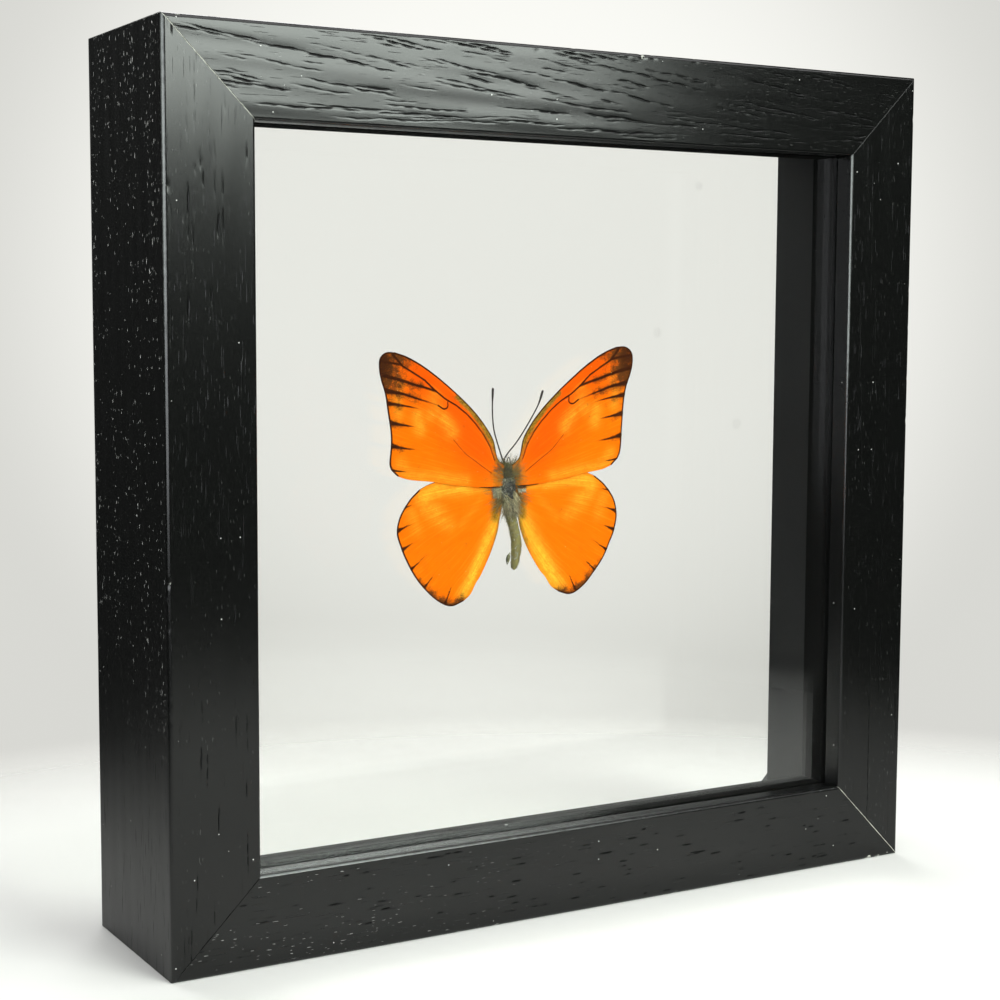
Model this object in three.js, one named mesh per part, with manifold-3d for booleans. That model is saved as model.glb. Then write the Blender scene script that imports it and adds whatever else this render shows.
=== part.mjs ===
// Framed butterfly specimen: a square box frame of mitred black bars with a pane of clear
// glass front and back, and a set orange butterfly glued by its thorax to the back pane.
// Millimetres, +Z up. The origin is the middle of the underside and the front faces -Y.
import * as THREE from 'three';
import { mergeVertices } from 'three/addons/utils/BufferGeometryUtils.js';
import Module from 'manifold-3d';

const wasm = await Module();
wasm.setup();

// Frame
const OUTER = 180;            // width and height over the bars
const DEPTH = 41;             // front face to back edge
const FACE_WIDTH = 18.2;      // bar width seen from the front
const LIP_DEPTH = 4.9;        // solid lip in front of the front pane
const WALL = 7;               // bar wall beside and behind the panes
const MITRE_GAP = 0.15;       // shortening of each bar end at its mitre
const SEAT = 0.1;             // play between a pane or strip and what it sits against
const PANE = 2;               // thickness of each pane
const LINER_THICKNESS = 4.7;  // of the strips in front of the back pane
const BLOCK_LEG = 6.6;        // legs of the triangular blocks behind the back pane
const BLOCK_THICKNESS = 2.6;

// Depths, measured back from the front face
const FRONT_PANE_DEPTH = LIP_DEPTH + SEAT;
const SPACER_START = FRONT_PANE_DEPTH + PANE + SEAT;
const SPACER_END = 14.3;
const BACK_PANE_DEPTH = 35.4;

// Butterfly
const BODY_X = 1.3;           // the specimen sits slightly right of the middle
const BODY_Z = 89.9;          // height of the wing roots
const BODY_DEPTH = 32.5;      // depth of the body's middle line
const WING_THICKNESS = 0.3;
const FOREWING_DEPTH = 31.7;
const HINDWING_DEPTH = 32.4;
const WING_LIFT = 0.02;       // rise of the wings towards the front, radians
const ANTENNA_DEPTH = 30.9;
const ANTENNA_RADIUS = 0.16;
const CLUB_RADIUS = 0.42;
const CLUB_HALF_LENGTH = 1.2;

// Points of the body are (across, towards the back, up) from the wing roots.
const THORAX = { radii: [2.3, 2.1, 4.6], centre: [0, 0, -1.6] };
const HEAD = { radii: [1.5, 1.4, 1.3], centre: [-0.5, -0.2, 3.6] };
const ABDOMEN_START = [0.5, 0.1, -5.2];
const ABDOMEN_LEAN = 0.13;    // of the abdomen to the right, radians
const GLUE_START = 1;         // front of the glue, behind the body's middle line
const GLUE_FRONT_RADIUS = 1.7;
const GLUE_BACK_RADIUS = 2.6;
const GLUE_CLEARANCE = 0.15;  // between the glue and the thorax

// The abdomen's radius against the distance along it.
const ABDOMEN_PROFILE = [
  [0, 0], [1.1, 0.3], [1.45, 2.5], [1.5, 6], [1.35, 10], [0.9, 14], [0, 15.4],
];

// Wing outlines of a right-hand wing, from the wing root (0, 0), x outwards and y up.
const FOREWING = [
  [2.7, 0.6], [2.8, 3.9], [3.9, 8.6], [6.1, 11.7], [9.4, 15.4], [13.3, 18.9], [17.3, 22.1],
  [21.6, 25.1], [25.4, 27.1], [28.4, 28.0], [30.6, 28.1], [32.1, 27.0], [32.4, 25.0],
  [31.9, 22.2], [30.9, 19.2], [29.9, 15.2], [29.4, 10.7], [29.3, 6.6], [28.6, 3.6],
  [26.8, 1.6], [24.2, 0.7], [19.8, 0.1], [14.6, -0.8], [9.7, -1.4], [4.2, -1.9], [2.7, -1.3],
];
const HINDWING = [
  [3.2, -2.6], [9.0, 0.4], [15.0, 0.8], [20.6, 0.1], [24.6, -2.5], [27.5, -6.2], [28.3, -9.9],
  [26.8, -14.9], [24.4, -19.6], [21.0, -23.8], [16.8, -26.7], [14.0, -27.0], [11.4, -25.4],
  [8.0, -21.2], [4.9, -16.4], [3.0, -11.4], [2.7, -7.4],
];
const ANTENNA_LEFT = [[-2.0, 5.4], [-3.4, 8.1], [-4.3, 11.1], [-4.6, 15.0], [-4.5, 18.6]];
const ANTENNA_RIGHT = [[-0.5, 5.4], [1.7, 8.1], [3.2, 10.0], [5.4, 13.2], [7.2, 15.9], [8.2, 18.2]];

const material = (color, roughness, options = {}) =>
  new THREE.MeshStandardMaterial({ color, roughness, metalness: 0, ...options });
const PAINTED_WOOD = material(0x1b1c1b, 0.45);
const BLACK_STRIP = material(0x131313, 0.6);
const GLASS = material(0xeef4ef, 0.03, { transparent: true, opacity: 0.3 });
const ORANGE_WING = material(0xf5780f, 0.75);
const BODY_FUR = material(0x6b6240, 0.9);
const ANTENNA_BROWN = material(0x2a170c, 0.6);
const CLEAR_GLUE = material(0xe9e6da, 0.2, { transparent: true, opacity: 0.5 });

const specimen = new THREE.Group();
const fromFront = (depth) => depth - DEPTH / 2;

function add(name, geometry, finish, place = () => {}) {
  const mesh = new THREE.Mesh(geometry, finish);
  mesh.name = name;
  place(mesh);
  specimen.add(mesh);
}

// A closed geometry as a solid for joining and cutting, and back again.
function toSolid(geometry) {
  const bare = geometry.clone();
  bare.deleteAttribute('normal');
  bare.deleteAttribute('uv');
  const merged = mergeVertices(bare, 1e-5);
  return new wasm.Manifold(new wasm.Mesh({
    numProp: 3,
    vertProperties: Float32Array.from(merged.attributes.position.array),
    triVerts: Uint32Array.from(merged.index.array),
  }));
}

function toGeometry(solid) {
  const mesh = solid.getMesh();
  const geometry = new THREE.BufferGeometry();
  geometry.setAttribute('position', new THREE.BufferAttribute(mesh.vertProperties, 3));
  geometry.setIndex(new THREE.BufferAttribute(mesh.triVerts, 1));
  geometry.computeVertexNormals();
  return geometry;
}

// One side of a square ring: a section of (inset, depth) points carried along the bottom
// edge, with each point's length shortened by its inset so that both ends are mitred.
function mitredBar(section) {
  const shape = new THREE.Shape(section.map(([inset, depth]) => new THREE.Vector2(inset, depth)));
  const geometry = new THREE.ExtrudeGeometry(shape, { depth: 2, bevelEnabled: false });
  geometry.translate(0, 0, -1);
  geometry.rotateY(-Math.PI / 2);
  const points = geometry.attributes.position;
  for (let i = 0; i < points.count; i += 1) {
    const inset = points.getZ(i);
    const reach = OUTER / 2 - inset - MITRE_GAP;
    points.setXYZ(i, Math.sign(points.getX(i)) * reach, fromFront(points.getY(i)), inset - OUTER / 2);
  }
  geometry.computeVertexNormals();
  return geometry;
}

const rectangle = (inset, depth, width, length) => [
  [inset, depth], [inset + width, depth], [inset + width, depth + length], [inset, depth + length],
];

// The same piece on each of the four sides, turned about the middle of the frame.
function addAround(name, sides, geometry, finish) {
  sides.forEach((side, quarter) => {
    add(`${name}_${side}`, geometry, finish, (mesh) => {
      mesh.position.z = OUTER / 2;
      mesh.rotation.y = quarter * Math.PI / 2;
    });
  });
}

function addFrame() {
  const sides = ['bottom', 'left', 'top', 'right'];
  const railSection = [
    [0, 0], [FACE_WIDTH, 0], [FACE_WIDTH, LIP_DEPTH], [WALL, LIP_DEPTH], [WALL, DEPTH], [0, DEPTH],
  ];
  addAround('rail', sides, mitredBar(railSection), PAINTED_WOOD);
  const spacer = rectangle(
    WALL + SEAT, SPACER_START, FACE_WIDTH - WALL - SEAT, SPACER_END - SPACER_START,
  );
  addAround('spacer', sides, mitredBar(spacer), BLACK_STRIP);
  const linerStart = SPACER_END + SEAT;
  const liner = rectangle(
    WALL + SEAT, linerStart, LINER_THICKNESS, BACK_PANE_DEPTH - SEAT - linerStart,
  );
  addAround('liner', sides, mitredBar(liner), BLACK_STRIP);
}

function addPanes() {
  const width = OUTER - 2 * (WALL + 3 * SEAT);
  const pane = new THREE.BoxGeometry(width, PANE, width);
  const place = (depth) => (mesh) => {
    mesh.position.set(0, fromFront(depth + PANE / 2), OUTER / 2);
  };
  add('front_glass', pane, GLASS, place(FRONT_PANE_DEPTH));
  add('back_glass', pane, GLASS, place(BACK_PANE_DEPTH));
}

// Triangular blocks in the back corners keep the back pane in its rebate.
function addCornerBlocks() {
  const near = OUTER / 2 - WALL - SEAT;
  const shape = new THREE.Shape([
    new THREE.Vector2(-near, -near),
    new THREE.Vector2(-near + BLOCK_LEG, -near),
    new THREE.Vector2(-near, -near + BLOCK_LEG),
  ]);
  const block = new THREE.ExtrudeGeometry(shape, { depth: BLOCK_THICKNESS, bevelEnabled: false });
  block.rotateX(Math.PI / 2);
  block.translate(0, fromFront(BACK_PANE_DEPTH + PANE + SEAT + BLOCK_THICKNESS), 0);
  const corners = ['bottom_left', 'top_left', 'top_right', 'bottom_right'];
  addAround('corner_block', corners, block, BLACK_STRIP);
}

// Wings

function wingGeometry(outline, side) {
  const curve = new THREE.SplineCurve(outline.map(([x, y]) => new THREE.Vector2(side * x, y)));
  const shape = new THREE.Shape(curve.getPoints(outline.length * 3));
  const geometry = new THREE.ExtrudeGeometry(shape, { depth: WING_THICKNESS, bevelEnabled: false });
  return geometry.rotateX(Math.PI / 2);
}

function addWings() {
  for (const [hand, side] of [['left', -1], ['right', 1]]) {
    const place = (depth) => (mesh) => {
      mesh.position.set(BODY_X, fromFront(depth), BODY_Z);
      mesh.rotation.z = -side * WING_LIFT;
    };
    add(`forewing_${hand}`, wingGeometry(FOREWING, side), ORANGE_WING, place(FOREWING_DEPTH));
    add(`hindwing_${hand}`, wingGeometry(HINDWING, side), ORANGE_WING, place(HINDWING_DEPTH));
  }
}

// Body

function ellipsoid({ radii, centre }) {
  const geometry = new THREE.SphereGeometry(1, 20, 12);
  geometry.rotateX(Math.PI / 2);
  geometry.scale(...radii);
  geometry.translate(...centre);
  return toSolid(geometry);
}

// Head, thorax and a spindle of an abdomen that leans a little to the right.
function bodySolid() {
  const profile = ABDOMEN_PROFILE.map(([radius, along]) => new THREE.Vector2(radius, along));
  const abdomen = new THREE.LatheGeometry(profile, 16);
  abdomen.rotateX(-Math.PI / 2);
  abdomen.rotateY(-ABDOMEN_LEAN);
  abdomen.translate(...ABDOMEN_START);
  return ellipsoid(THORAX).add(ellipsoid(HEAD)).add(toSolid(abdomen));
}

// Glue between the underside of the thorax and the back pane.
function glueSolid() {
  const back = BACK_PANE_DEPTH - SEAT - BODY_DEPTH;
  const drop = new THREE.CylinderGeometry(GLUE_BACK_RADIUS, GLUE_FRONT_RADIUS, back - GLUE_START, 20);
  drop.translate(0, (GLUE_START + back) / 2, THORAX.centre[2]);
  const radii = THORAX.radii.map((radius) => radius + GLUE_CLEARANCE);
  return toSolid(drop).subtract(ellipsoid({ radii, centre: THORAX.centre }));
}

// A thin rod ending in a long club.
function antennaSolid(points) {
  const path = new THREE.CatmullRomCurve3(points.map(([x, z]) => new THREE.Vector3(x, 0, z)));
  const circle = new THREE.Shape().absarc(0, 0, ANTENNA_RADIUS, 0, 2 * Math.PI);
  const rod = new THREE.ExtrudeGeometry(circle, { steps: 14, curveSegments: 4, extrudePath: path });
  const tip = path.getPoint(1);
  const direction = path.getTangent(1);
  const club = new THREE.SphereGeometry(1, 10, 8);
  club.scale(CLUB_RADIUS, CLUB_RADIUS, CLUB_HALF_LENGTH);
  club.rotateY(Math.atan2(direction.x, direction.z));
  club.translate(tip.x, tip.y, tip.z);
  return toSolid(rod).add(toSolid(club));
}

function addBody() {
  const place = (depth) => (mesh) => mesh.position.set(BODY_X, fromFront(depth), BODY_Z);
  add('body', toGeometry(bodySolid()), BODY_FUR, place(BODY_DEPTH));
  add('glue_drop', toGeometry(glueSolid()), CLEAR_GLUE, place(BODY_DEPTH));
  const antennae = [['left', ANTENNA_LEFT], ['right', ANTENNA_RIGHT]];
  for (const [hand, points] of antennae) {
    const geometry = toGeometry(antennaSolid(points));
    add(`antenna_${hand}`, geometry, ANTENNA_BROWN, place(ANTENNA_DEPTH));
  }
}

addFrame();
addPanes();
addCornerBlocks();
addWings();
addBody();

export default specimen;
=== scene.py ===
"""Framed butterfly specimen: the finished surfaces of a square black box frame with two clear
panes, and of the set orange butterfly glued by its thorax to the back pane.

Shapes are worked out with numpy in millimetres, in the model's own frame (+Z up, front towards
-Y), and build_piece turns them into metres. Wings and body are drawn from the wing roots, with
x across, y up the wing plane and depth towards the back.
"""
import math

import bmesh
import bpy
import numpy as np
from mathutils import Matrix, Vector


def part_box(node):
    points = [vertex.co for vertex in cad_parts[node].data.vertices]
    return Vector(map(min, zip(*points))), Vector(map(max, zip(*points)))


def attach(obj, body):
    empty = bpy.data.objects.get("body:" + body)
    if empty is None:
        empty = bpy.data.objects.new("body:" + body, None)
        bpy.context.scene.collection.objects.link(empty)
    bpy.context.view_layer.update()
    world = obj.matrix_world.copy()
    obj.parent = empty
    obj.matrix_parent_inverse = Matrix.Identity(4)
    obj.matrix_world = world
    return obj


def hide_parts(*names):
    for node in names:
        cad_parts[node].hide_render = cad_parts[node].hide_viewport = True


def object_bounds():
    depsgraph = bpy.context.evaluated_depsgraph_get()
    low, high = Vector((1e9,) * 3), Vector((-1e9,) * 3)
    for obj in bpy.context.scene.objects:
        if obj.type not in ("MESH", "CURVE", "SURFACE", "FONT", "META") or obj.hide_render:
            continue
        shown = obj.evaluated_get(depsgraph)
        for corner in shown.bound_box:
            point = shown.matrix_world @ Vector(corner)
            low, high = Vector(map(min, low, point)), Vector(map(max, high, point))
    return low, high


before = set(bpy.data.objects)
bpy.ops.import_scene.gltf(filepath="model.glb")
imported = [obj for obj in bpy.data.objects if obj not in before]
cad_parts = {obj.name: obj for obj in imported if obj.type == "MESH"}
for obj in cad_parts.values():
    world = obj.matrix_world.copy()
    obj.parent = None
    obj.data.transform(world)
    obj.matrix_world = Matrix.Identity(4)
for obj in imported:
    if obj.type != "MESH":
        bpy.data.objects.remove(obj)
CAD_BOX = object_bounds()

bl_info = {
    "name": "Framed Butterfly Specimen",
    "version": (1, 0, 0),
    "blender": (4, 5, 0),
    "location": "View3D > Sidebar > Specimen",
    "description": "Makes a black box frame with two panes and a set orange butterfly",
    "category": "Add Mesh",
}

MM = 0.001
SIDES = ("bottom", "left", "top", "right")


def node_box(node):
    """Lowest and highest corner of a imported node, in millimetres."""
    low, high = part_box(node)
    return np.array(low) / MM, np.array(high) / MM


# Frame sizes in millimetres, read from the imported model. SEAT is the play between a bar and
# what sits in it, and HALF_PLATE is half the thickness of a packed wing.
HALF = CAD_BOX[1].x / MM
FRONT_Y = CAD_BOX[0].y / MM
DEPTH = (CAD_BOX[1].y - CAD_BOX[0].y) / MM
SEAT = 0.1
HALF_PLATE = 0.15
FACE_WIDTH = node_box("rail_bottom")[1][2]
WALL = node_box("liner_bottom")[0][2] - SEAT
LIP_DEPTH = node_box("front_glass")[0][1] - FRONT_Y - SEAT
SPACER_DEPTHS = (
    node_box("spacer_bottom")[0][1] - FRONT_Y, node_box("spacer_bottom")[1][1] - FRONT_Y)
LINER_DEPTHS = (
    node_box("liner_bottom")[0][1] - FRONT_Y, node_box("liner_bottom")[1][1] - FRONT_Y)
LINER_INSET = node_box("liner_bottom")[1][2]
BACK_PANE_Y = node_box("back_glass")[0][1]

# Butterfly: the point between the wing roots, and the depths of its layers
ROOT_X = 1.3
ROOT_Z = 89.9
FOREWING_Y = node_box("forewing_left")[1][1] - HALF_PLATE
HINDWING_Y = node_box("hindwing_left")[1][1] - HALF_PLATE
BODY_Y = 12.0
ANTENNA_Y = 10.4
BODY_CENTRE = np.array([ROOT_X, BODY_Y, ROOT_Z])


# ---------------------------------------------------------------- settings

class SpecimenFrameSettings(bpy.types.PropertyGroup):
    """Sizes and finish of the black frame."""

    arris: bpy.props.FloatProperty(
        name="Arris", description="Rounding of the outer front edges",
        default=0.0008, unit="LENGTH")
    inner_arris: bpy.props.FloatProperty(
        name="Inner arris", description="Rounding of the edges round the opening",
        default=0.0005, unit="LENGTH")
    crack_depth: bpy.props.FloatProperty(
        name="Grain depth", description="Depth of the open grain under the paint",
        default=0.0002, unit="LENGTH")
    mitre_gap: bpy.props.FloatProperty(
        name="Mitre gap", description="Shortening of each bar end at its mitre",
        default=0.00005, unit="LENGTH")
    paint: bpy.props.FloatVectorProperty(
        name="Paint", description="Colour of the black paint", subtype="COLOR",
        default=(0.0024, 0.0026, 0.0024), min=0, max=1)
    bare_wood: bpy.props.FloatVectorProperty(
        name="Bare wood", description="Colour of worn edges and mitre lines", subtype="COLOR",
        default=(0.5, 0.51, 0.45), min=0, max=1)
    # The dust colour also paints the pale dashes on the outer sides, which are painted highlights
    # on the pore walls.
    dust: bpy.props.FloatVectorProperty(
        name="Dust", description="Colour of dust caught in the grain", subtype="COLOR",
        default=(0.9, 0.91, 0.86), min=0, max=1)
    strip: bpy.props.FloatVectorProperty(
        name="Strip", description="Colour of the smooth inner strips", subtype="COLOR",
        default=(0.0032, 0.0034, 0.0031), min=0, max=1)
    # The edge line colour paints a highlight: the bluish light that the rounded arrises catch.
    line: bpy.props.FloatVectorProperty(
        name="Edge line", description="Colour of the bluish line along a worn arris",
        subtype="COLOR", default=(0.14, 0.152, 0.146), min=0, max=1)
    glass: bpy.props.FloatVectorProperty(
        name="Glass", description="Tint of the panes", subtype="COLOR",
        default=(0.99, 0.995, 0.985), min=0, max=1)


class SpecimenWingSettings(bpy.types.PropertyGroup):
    """Sizes and colours of the wings."""

    thickness: bpy.props.FloatProperty(
        name="Thickness", description="Thickness of a wing", default=0.00012, unit="LENGTH")
    vein_height: bpy.props.FloatProperty(
        name="Vein height", description="How far the veins stand out", default=0.00009,
        unit="LENGTH")
    orange: bpy.props.FloatVectorProperty(
        name="Orange", description="Ground colour of the wings", subtype="COLOR",
        default=(0.93, 0.166, 0.001), min=0, max=1)
    red: bpy.props.FloatVectorProperty(
        name="Red orange", description="Deeper colour of the cell", subtype="COLOR",
        default=(0.9, 0.09, 0.001), min=0, max=1)
    yellow: bpy.props.FloatVectorProperty(
        name="Yellow", description="Paler patches and the inner stripe", subtype="COLOR",
        default=(0.95, 0.5, 0.035), min=0, max=1)
    olive: bpy.props.FloatVectorProperty(
        name="Olive", description="Dusting at the roots and the front edge", subtype="COLOR",
        default=(0.26, 0.14, 0.016), min=0, max=1)
    brown: bpy.props.FloatVectorProperty(
        name="Dark brown", description="Veins and margins", subtype="COLOR",
        default=(0.045, 0.012, 0.004), min=0, max=1)
    underside: bpy.props.FloatVectorProperty(
        name="Underside", description="Paler colour of the wings' back", subtype="COLOR",
        default=(0.85, 0.42, 0.05), min=0, max=1)


class SpecimenBodySettings(bpy.types.PropertyGroup):
    """Body, hair and antennae."""

    hair_radius: bpy.props.FloatProperty(
        name="Hair radius", description="Radius of a hair at its root", default=0.000055,
        unit="LENGTH")
    hair_seed: bpy.props.IntProperty(
        name="Hair seed", description="Start of the random placing of the hairs", default=7)
    skin: bpy.props.FloatVectorProperty(
        name="Skin", description="Bare dark skin of the thorax", subtype="COLOR",
        default=(0.035, 0.036, 0.028), min=0, max=1)
    horn: bpy.props.FloatVectorProperty(
        name="Horn", description="Antennae, palps and eyes", subtype="COLOR",
        default=(0.013, 0.008, 0.005), min=0, max=1)
    glue: bpy.props.FloatVectorProperty(
        name="Glue", description="Clear set glue", subtype="COLOR",
        default=(0.93, 0.91, 0.85), min=0, max=1)


class SpecimenStageSettings(bpy.types.PropertyGroup):
    """Floor, lights and camera."""

    floor: bpy.props.FloatVectorProperty(
        name="Floor", description="Colour of the floor and sweep", subtype="COLOR",
        default=(0.86, 0.86, 0.83), min=0, max=1)
    overhead: bpy.props.FloatProperty(
        name="Overhead", description="Power of the overhead softbox", default=8.6, unit="POWER")
    front: bpy.props.FloatProperty(
        name="Front", description="Power of the front softbox", default=6.2, unit="POWER")
    side: bpy.props.FloatProperty(
        name="Side", description="Power of the left softbox", default=7.0, unit="POWER")
    rear: bpy.props.FloatProperty(
        name="Rear", description="Power of the softbox behind", default=8.0, unit="POWER")
    azimuth: bpy.props.FloatProperty(
        name="Camera azimuth", description="Turn of the view to the right of +Y",
        default=0.530689, subtype="ANGLE")
    elevation: bpy.props.FloatProperty(
        name="Camera tilt", description="Tilt of the view above the horizon",
        default=-0.0952063, subtype="ANGLE")
    roll: bpy.props.FloatProperty(
        name="Camera roll", description="Roll of the camera", default=0.00445705,
        subtype="ANGLE")
    lens: bpy.props.FloatProperty(
        name="Lens", description="Focal length on a 36 mm sensor", default=68.934, min=1)


def settings(part):
    """The settings group of one part: frame, wings, body or stage."""
    return getattr(bpy.context.scene, f"specimen_{part}")


# ---------------------------------------------------------------- mesh tools

def grid_faces(rows, columns, closed=False, first=0):
    """Quads of a grid of vertices; a closed grid joins its last column to its first."""
    index = np.arange(rows * columns).reshape(rows, columns) + first
    if closed:
        index = np.hstack([index, index[:, :1]])
    quads = np.stack([index[:-1, :-1], index[1:, :-1], index[1:, 1:], index[:-1, 1:]], axis=-1)
    return quads.reshape(-1, 4)


def build_piece(name, points, faces, material, replaces=(), values=None, uv=None,
                recalculate=True):
    """Makes the mesh object of a piece from points in millimetres and arrays of faces with any
    number of corners, with its material, point attributes and UV map, and fixes it to the
    model."""
    mesh = bpy.data.meshes.new(name)
    corners = np.concatenate([part.ravel() for part in faces]).astype(np.int32)
    sizes = np.concatenate([np.full(len(part), part.shape[1]) for part in faces])
    starts = np.concatenate([[0], np.cumsum(sizes)[:-1]]).astype(np.int32)
    mesh.vertices.add(len(points))
    mesh.vertices.foreach_set("co", (points * MM).astype(np.float32).ravel())
    mesh.loops.add(len(corners))
    mesh.loops.foreach_set("vertex_index", corners)
    mesh.polygons.add(len(sizes))
    mesh.polygons.foreach_set("loop_start", starts)
    mesh.polygons.foreach_set("use_smooth", np.ones(len(sizes), bool))
    mesh.update(calc_edges=True)
    if uv is not None:
        layer = mesh.uv_layers.new(name="UVMap")
        layer.data.foreach_set("uv", uv[corners].astype(np.float32).ravel())
    for key, value in (values or {}).items():
        kind = "FLOAT_COLOR" if value.ndim == 2 else "FLOAT"
        data = mesh.attributes.new(key, kind, "POINT").data
        data.foreach_set("color" if kind == "FLOAT_COLOR" else "value",
                         value.astype(np.float32).ravel())
    if recalculate:
        work = bmesh.new()
        work.from_mesh(mesh)
        bmesh.ops.recalc_face_normals(work, faces=work.faces)
        work.to_mesh(mesh)
        work.free()
    piece = bpy.data.objects.new(name, mesh)
    bpy.context.scene.collection.objects.link(piece)
    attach(piece, "root")
    if replaces:
        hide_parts(*replaces)
    mesh.materials.append(material)


def finish_node(node, material):
    """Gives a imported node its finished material."""
    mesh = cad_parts[node].data
    mesh.materials.clear()
    mesh.materials.append(material)


def joined(parts):
    """Points, faces and point values of several parts as one, the faces' numbers carried on."""
    firsts = np.cumsum([0, *(len(points) for points, _, _ in parts)])
    faces = [kind + first for (_, kinds, _), first in zip(parts, firsts) for kind in kinds]
    return np.vstack([part[0] for part in parts]), faces, np.vstack([part[2] for part in parts])


def opaque(tints):
    """Rows of colours with an opaque alpha."""
    return np.hstack([tints, np.ones((len(tints), 1))])


def smooth_line(points, count):
    """Evenly spaced points on the Catmull-Rom curve through the given points."""
    given = np.asarray(points, float)
    padded = np.vstack([2 * given[0] - given[1], given, 2 * given[-1] - given[-2]])
    t = np.linspace(0, 1, 25)[:-1, None, None]
    a, b, c, d = padded[:-3], padded[1:-2], padded[2:-1], padded[3:]
    dense = 0.5 * (2 * b + (c - a) * t + (2 * a - 5 * b + 4 * c - d) * t ** 2
                   + (3 * b - a - 3 * c + d) * t ** 3)
    dense = np.vstack([dense.transpose(1, 0, 2).reshape(-1, given.shape[1]), given[-1:]])
    along = np.concatenate([[0], np.cumsum(np.linalg.norm(np.diff(dense, axis=0), axis=1))])
    even = np.linspace(0, along[-1], count)
    return np.stack([np.interp(even, along, column) for column in dense.T], axis=1)


def to_line(points, line):
    """Distance of each point to a polyline, and the share of the line (0 to 1) where the
    nearest place lies."""
    start, step = line[:-1], np.diff(line, axis=0)
    offset = points[:, None] - start
    share = np.clip((offset * step).sum(-1) / (step ** 2).sum(-1), 0, 1)
    gap = np.linalg.norm(offset - share[..., None] * step, axis=-1)
    nearest = gap.argmin(1)
    row = np.arange(len(points))
    return gap[row, nearest], (nearest + share[row, nearest]) / len(step)


def ease(value, low, high):
    """Smooth step: 0 below low, 1 above high, with level ends."""
    t = np.clip((value - low) / (high - low), 0, 1)
    return t * t * (3 - 2 * t)


def ripple(rng, points, wavelength, count=7):
    """Smooth random field of about -1 to 1: the mean of sine waves in random directions."""
    angle = rng.uniform(0, 2 * math.pi, count)
    wave = 2 * math.pi / (wavelength * rng.uniform(0.7, 1.4, count))
    direction = np.stack([np.cos(angle), np.sin(angle)]) * wave
    return np.sin(points @ direction + rng.uniform(0, 6, count)).mean(-1) * 1.7


def capped(rings, first_pole, last_pole):
    """Points and faces of a closed surface through rings of points, with a pole at each end."""
    rows, sides = rings.shape[:2]
    here = np.arange(sides)
    ahead = np.roll(here, -1)
    last_row = (rows - 1) * sides
    pole = np.full(sides, rows * sides)
    caps = [np.stack([pole, here, ahead], axis=1),
            np.stack([pole + 1, ahead + last_row, here + last_row], axis=1)]
    points = np.vstack([rings.reshape(-1, 3), first_pole, last_pole])
    return points, [grid_faces(rows, sides, closed=True), *caps]


def tube(path, across, deep, sides):
    """Closed surface of an oval section carried along a path in (x, depth, z): each ring lies
    square to the path, with its own half-widths, and both ends close in a pole."""
    tangent = np.gradient(path, axis=0)
    tangent /= np.linalg.norm(tangent, axis=1)[:, None]
    right = np.cross(tangent, [0, 1, 0])
    right /= np.linalg.norm(right, axis=1)[:, None]
    back = np.cross(right, tangent)
    angle = np.linspace(0, 2 * math.pi, sides, endpoint=False)
    inner = slice(1, -1)
    ring = (path[inner, None]
            + across[inner, None, None] * np.cos(angle)[None, :, None] * right[inner, None]
            + deep[inner, None, None] * np.sin(angle)[None, :, None] * back[inner, None])
    points, faces = capped(ring, path[0], path[-1])
    share = np.repeat(np.linspace(0, 1, len(ring)), sides)
    turn = np.tile(angle / (2 * math.pi), len(ring))
    uv = np.vstack([np.stack([share, turn], axis=1), [[0, 0.5], [1, 0.5]]])
    return points, faces, uv


# ---------------------------------------------------------------- shader tools

def fill(tree, node, inputs):
    """Links or sets the inputs of a node, given by name, or by number after an underscore."""
    for key, value in inputs.items():
        socket = node.inputs[int(key[1:]) if key[0] == "_" else key.replace("_", " ")]
        if isinstance(value, bpy.types.NodeSocket):
            tree.links.new(value, socket)
        else:
            socket.default_value = value


def put(tree, kind, options=None, **inputs):
    """Adds a shader node, sets its options, and sets or links its inputs."""
    made = tree.nodes.new("ShaderNode" + kind)
    for key, value in (options or {}).items():
        setattr(made, key, value)
    fill(tree, made, inputs)
    return made


def sums(tree, operation, *terms):
    """Output of a Math node."""
    inputs = {f"_{i}": term for i, term in enumerate(terms)}
    return put(tree, "Math", {"operation": operation}, **inputs).outputs[0]


def times(tree, first, second):
    """Product of two values."""
    return sums(tree, "MULTIPLY", first, second)


def plus(tree, first, second):
    """Sum of two values."""
    return sums(tree, "ADD", first, second)


def minus(tree, first, second):
    """Difference of two values."""
    return sums(tree, "SUBTRACT", first, second)


def mixed(tree, factor, first, second, mode="MIX"):
    """Colour between two colours."""
    options = {"data_type": "RGBA", "blend_type": mode}
    return put(tree, "Mix", options, _0=factor, _6=first, _7=second).outputs[2]


def band(tree, value, low, high):
    """0 below low and 1 above high, smooth between."""
    return put(tree, "MapRange", {"interpolation_type": "SMOOTHSTEP"}, Value=value,
               From_Min=low, From_Max=high).outputs[0]


def noise(tree, vector, scale, detail=2.0, roughness=0.5):
    """Value of a noise texture."""
    return put(tree, "TexNoise", Vector=vector, Scale=scale, Detail=detail,
               Roughness=roughness).outputs[0]


def stretched(tree, vector, scale):
    """A texture vector scaled differently along each axis."""
    return put(tree, "Mapping", Vector=vector, Scale=scale).outputs[0]


def attribute(tree, name, output="Fac"):
    """A value or colour stored on the piece's points."""
    return put(tree, "Attribute", {"attribute_name": name}).outputs[output]


def rgba(colour):
    """Colour with an opaque alpha."""
    return (*colour, 1.0)


def new_group(name, inputs, outputs):
    """An empty shader group with float or vector inputs and its outputs."""
    group = bpy.data.node_groups.new(name, "ShaderNodeTree")
    for key, kind, value in inputs:
        socket = group.interface.new_socket(key, in_out="INPUT", socket_type=kind)
        if value is not None:
            socket.default_value = value
    for key in outputs:
        group.interface.new_socket(key, in_out="OUTPUT", socket_type="NodeSocketFloat")
    return group, group.nodes.new("NodeGroupInput"), group.nodes.new("NodeGroupOutput")


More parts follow.
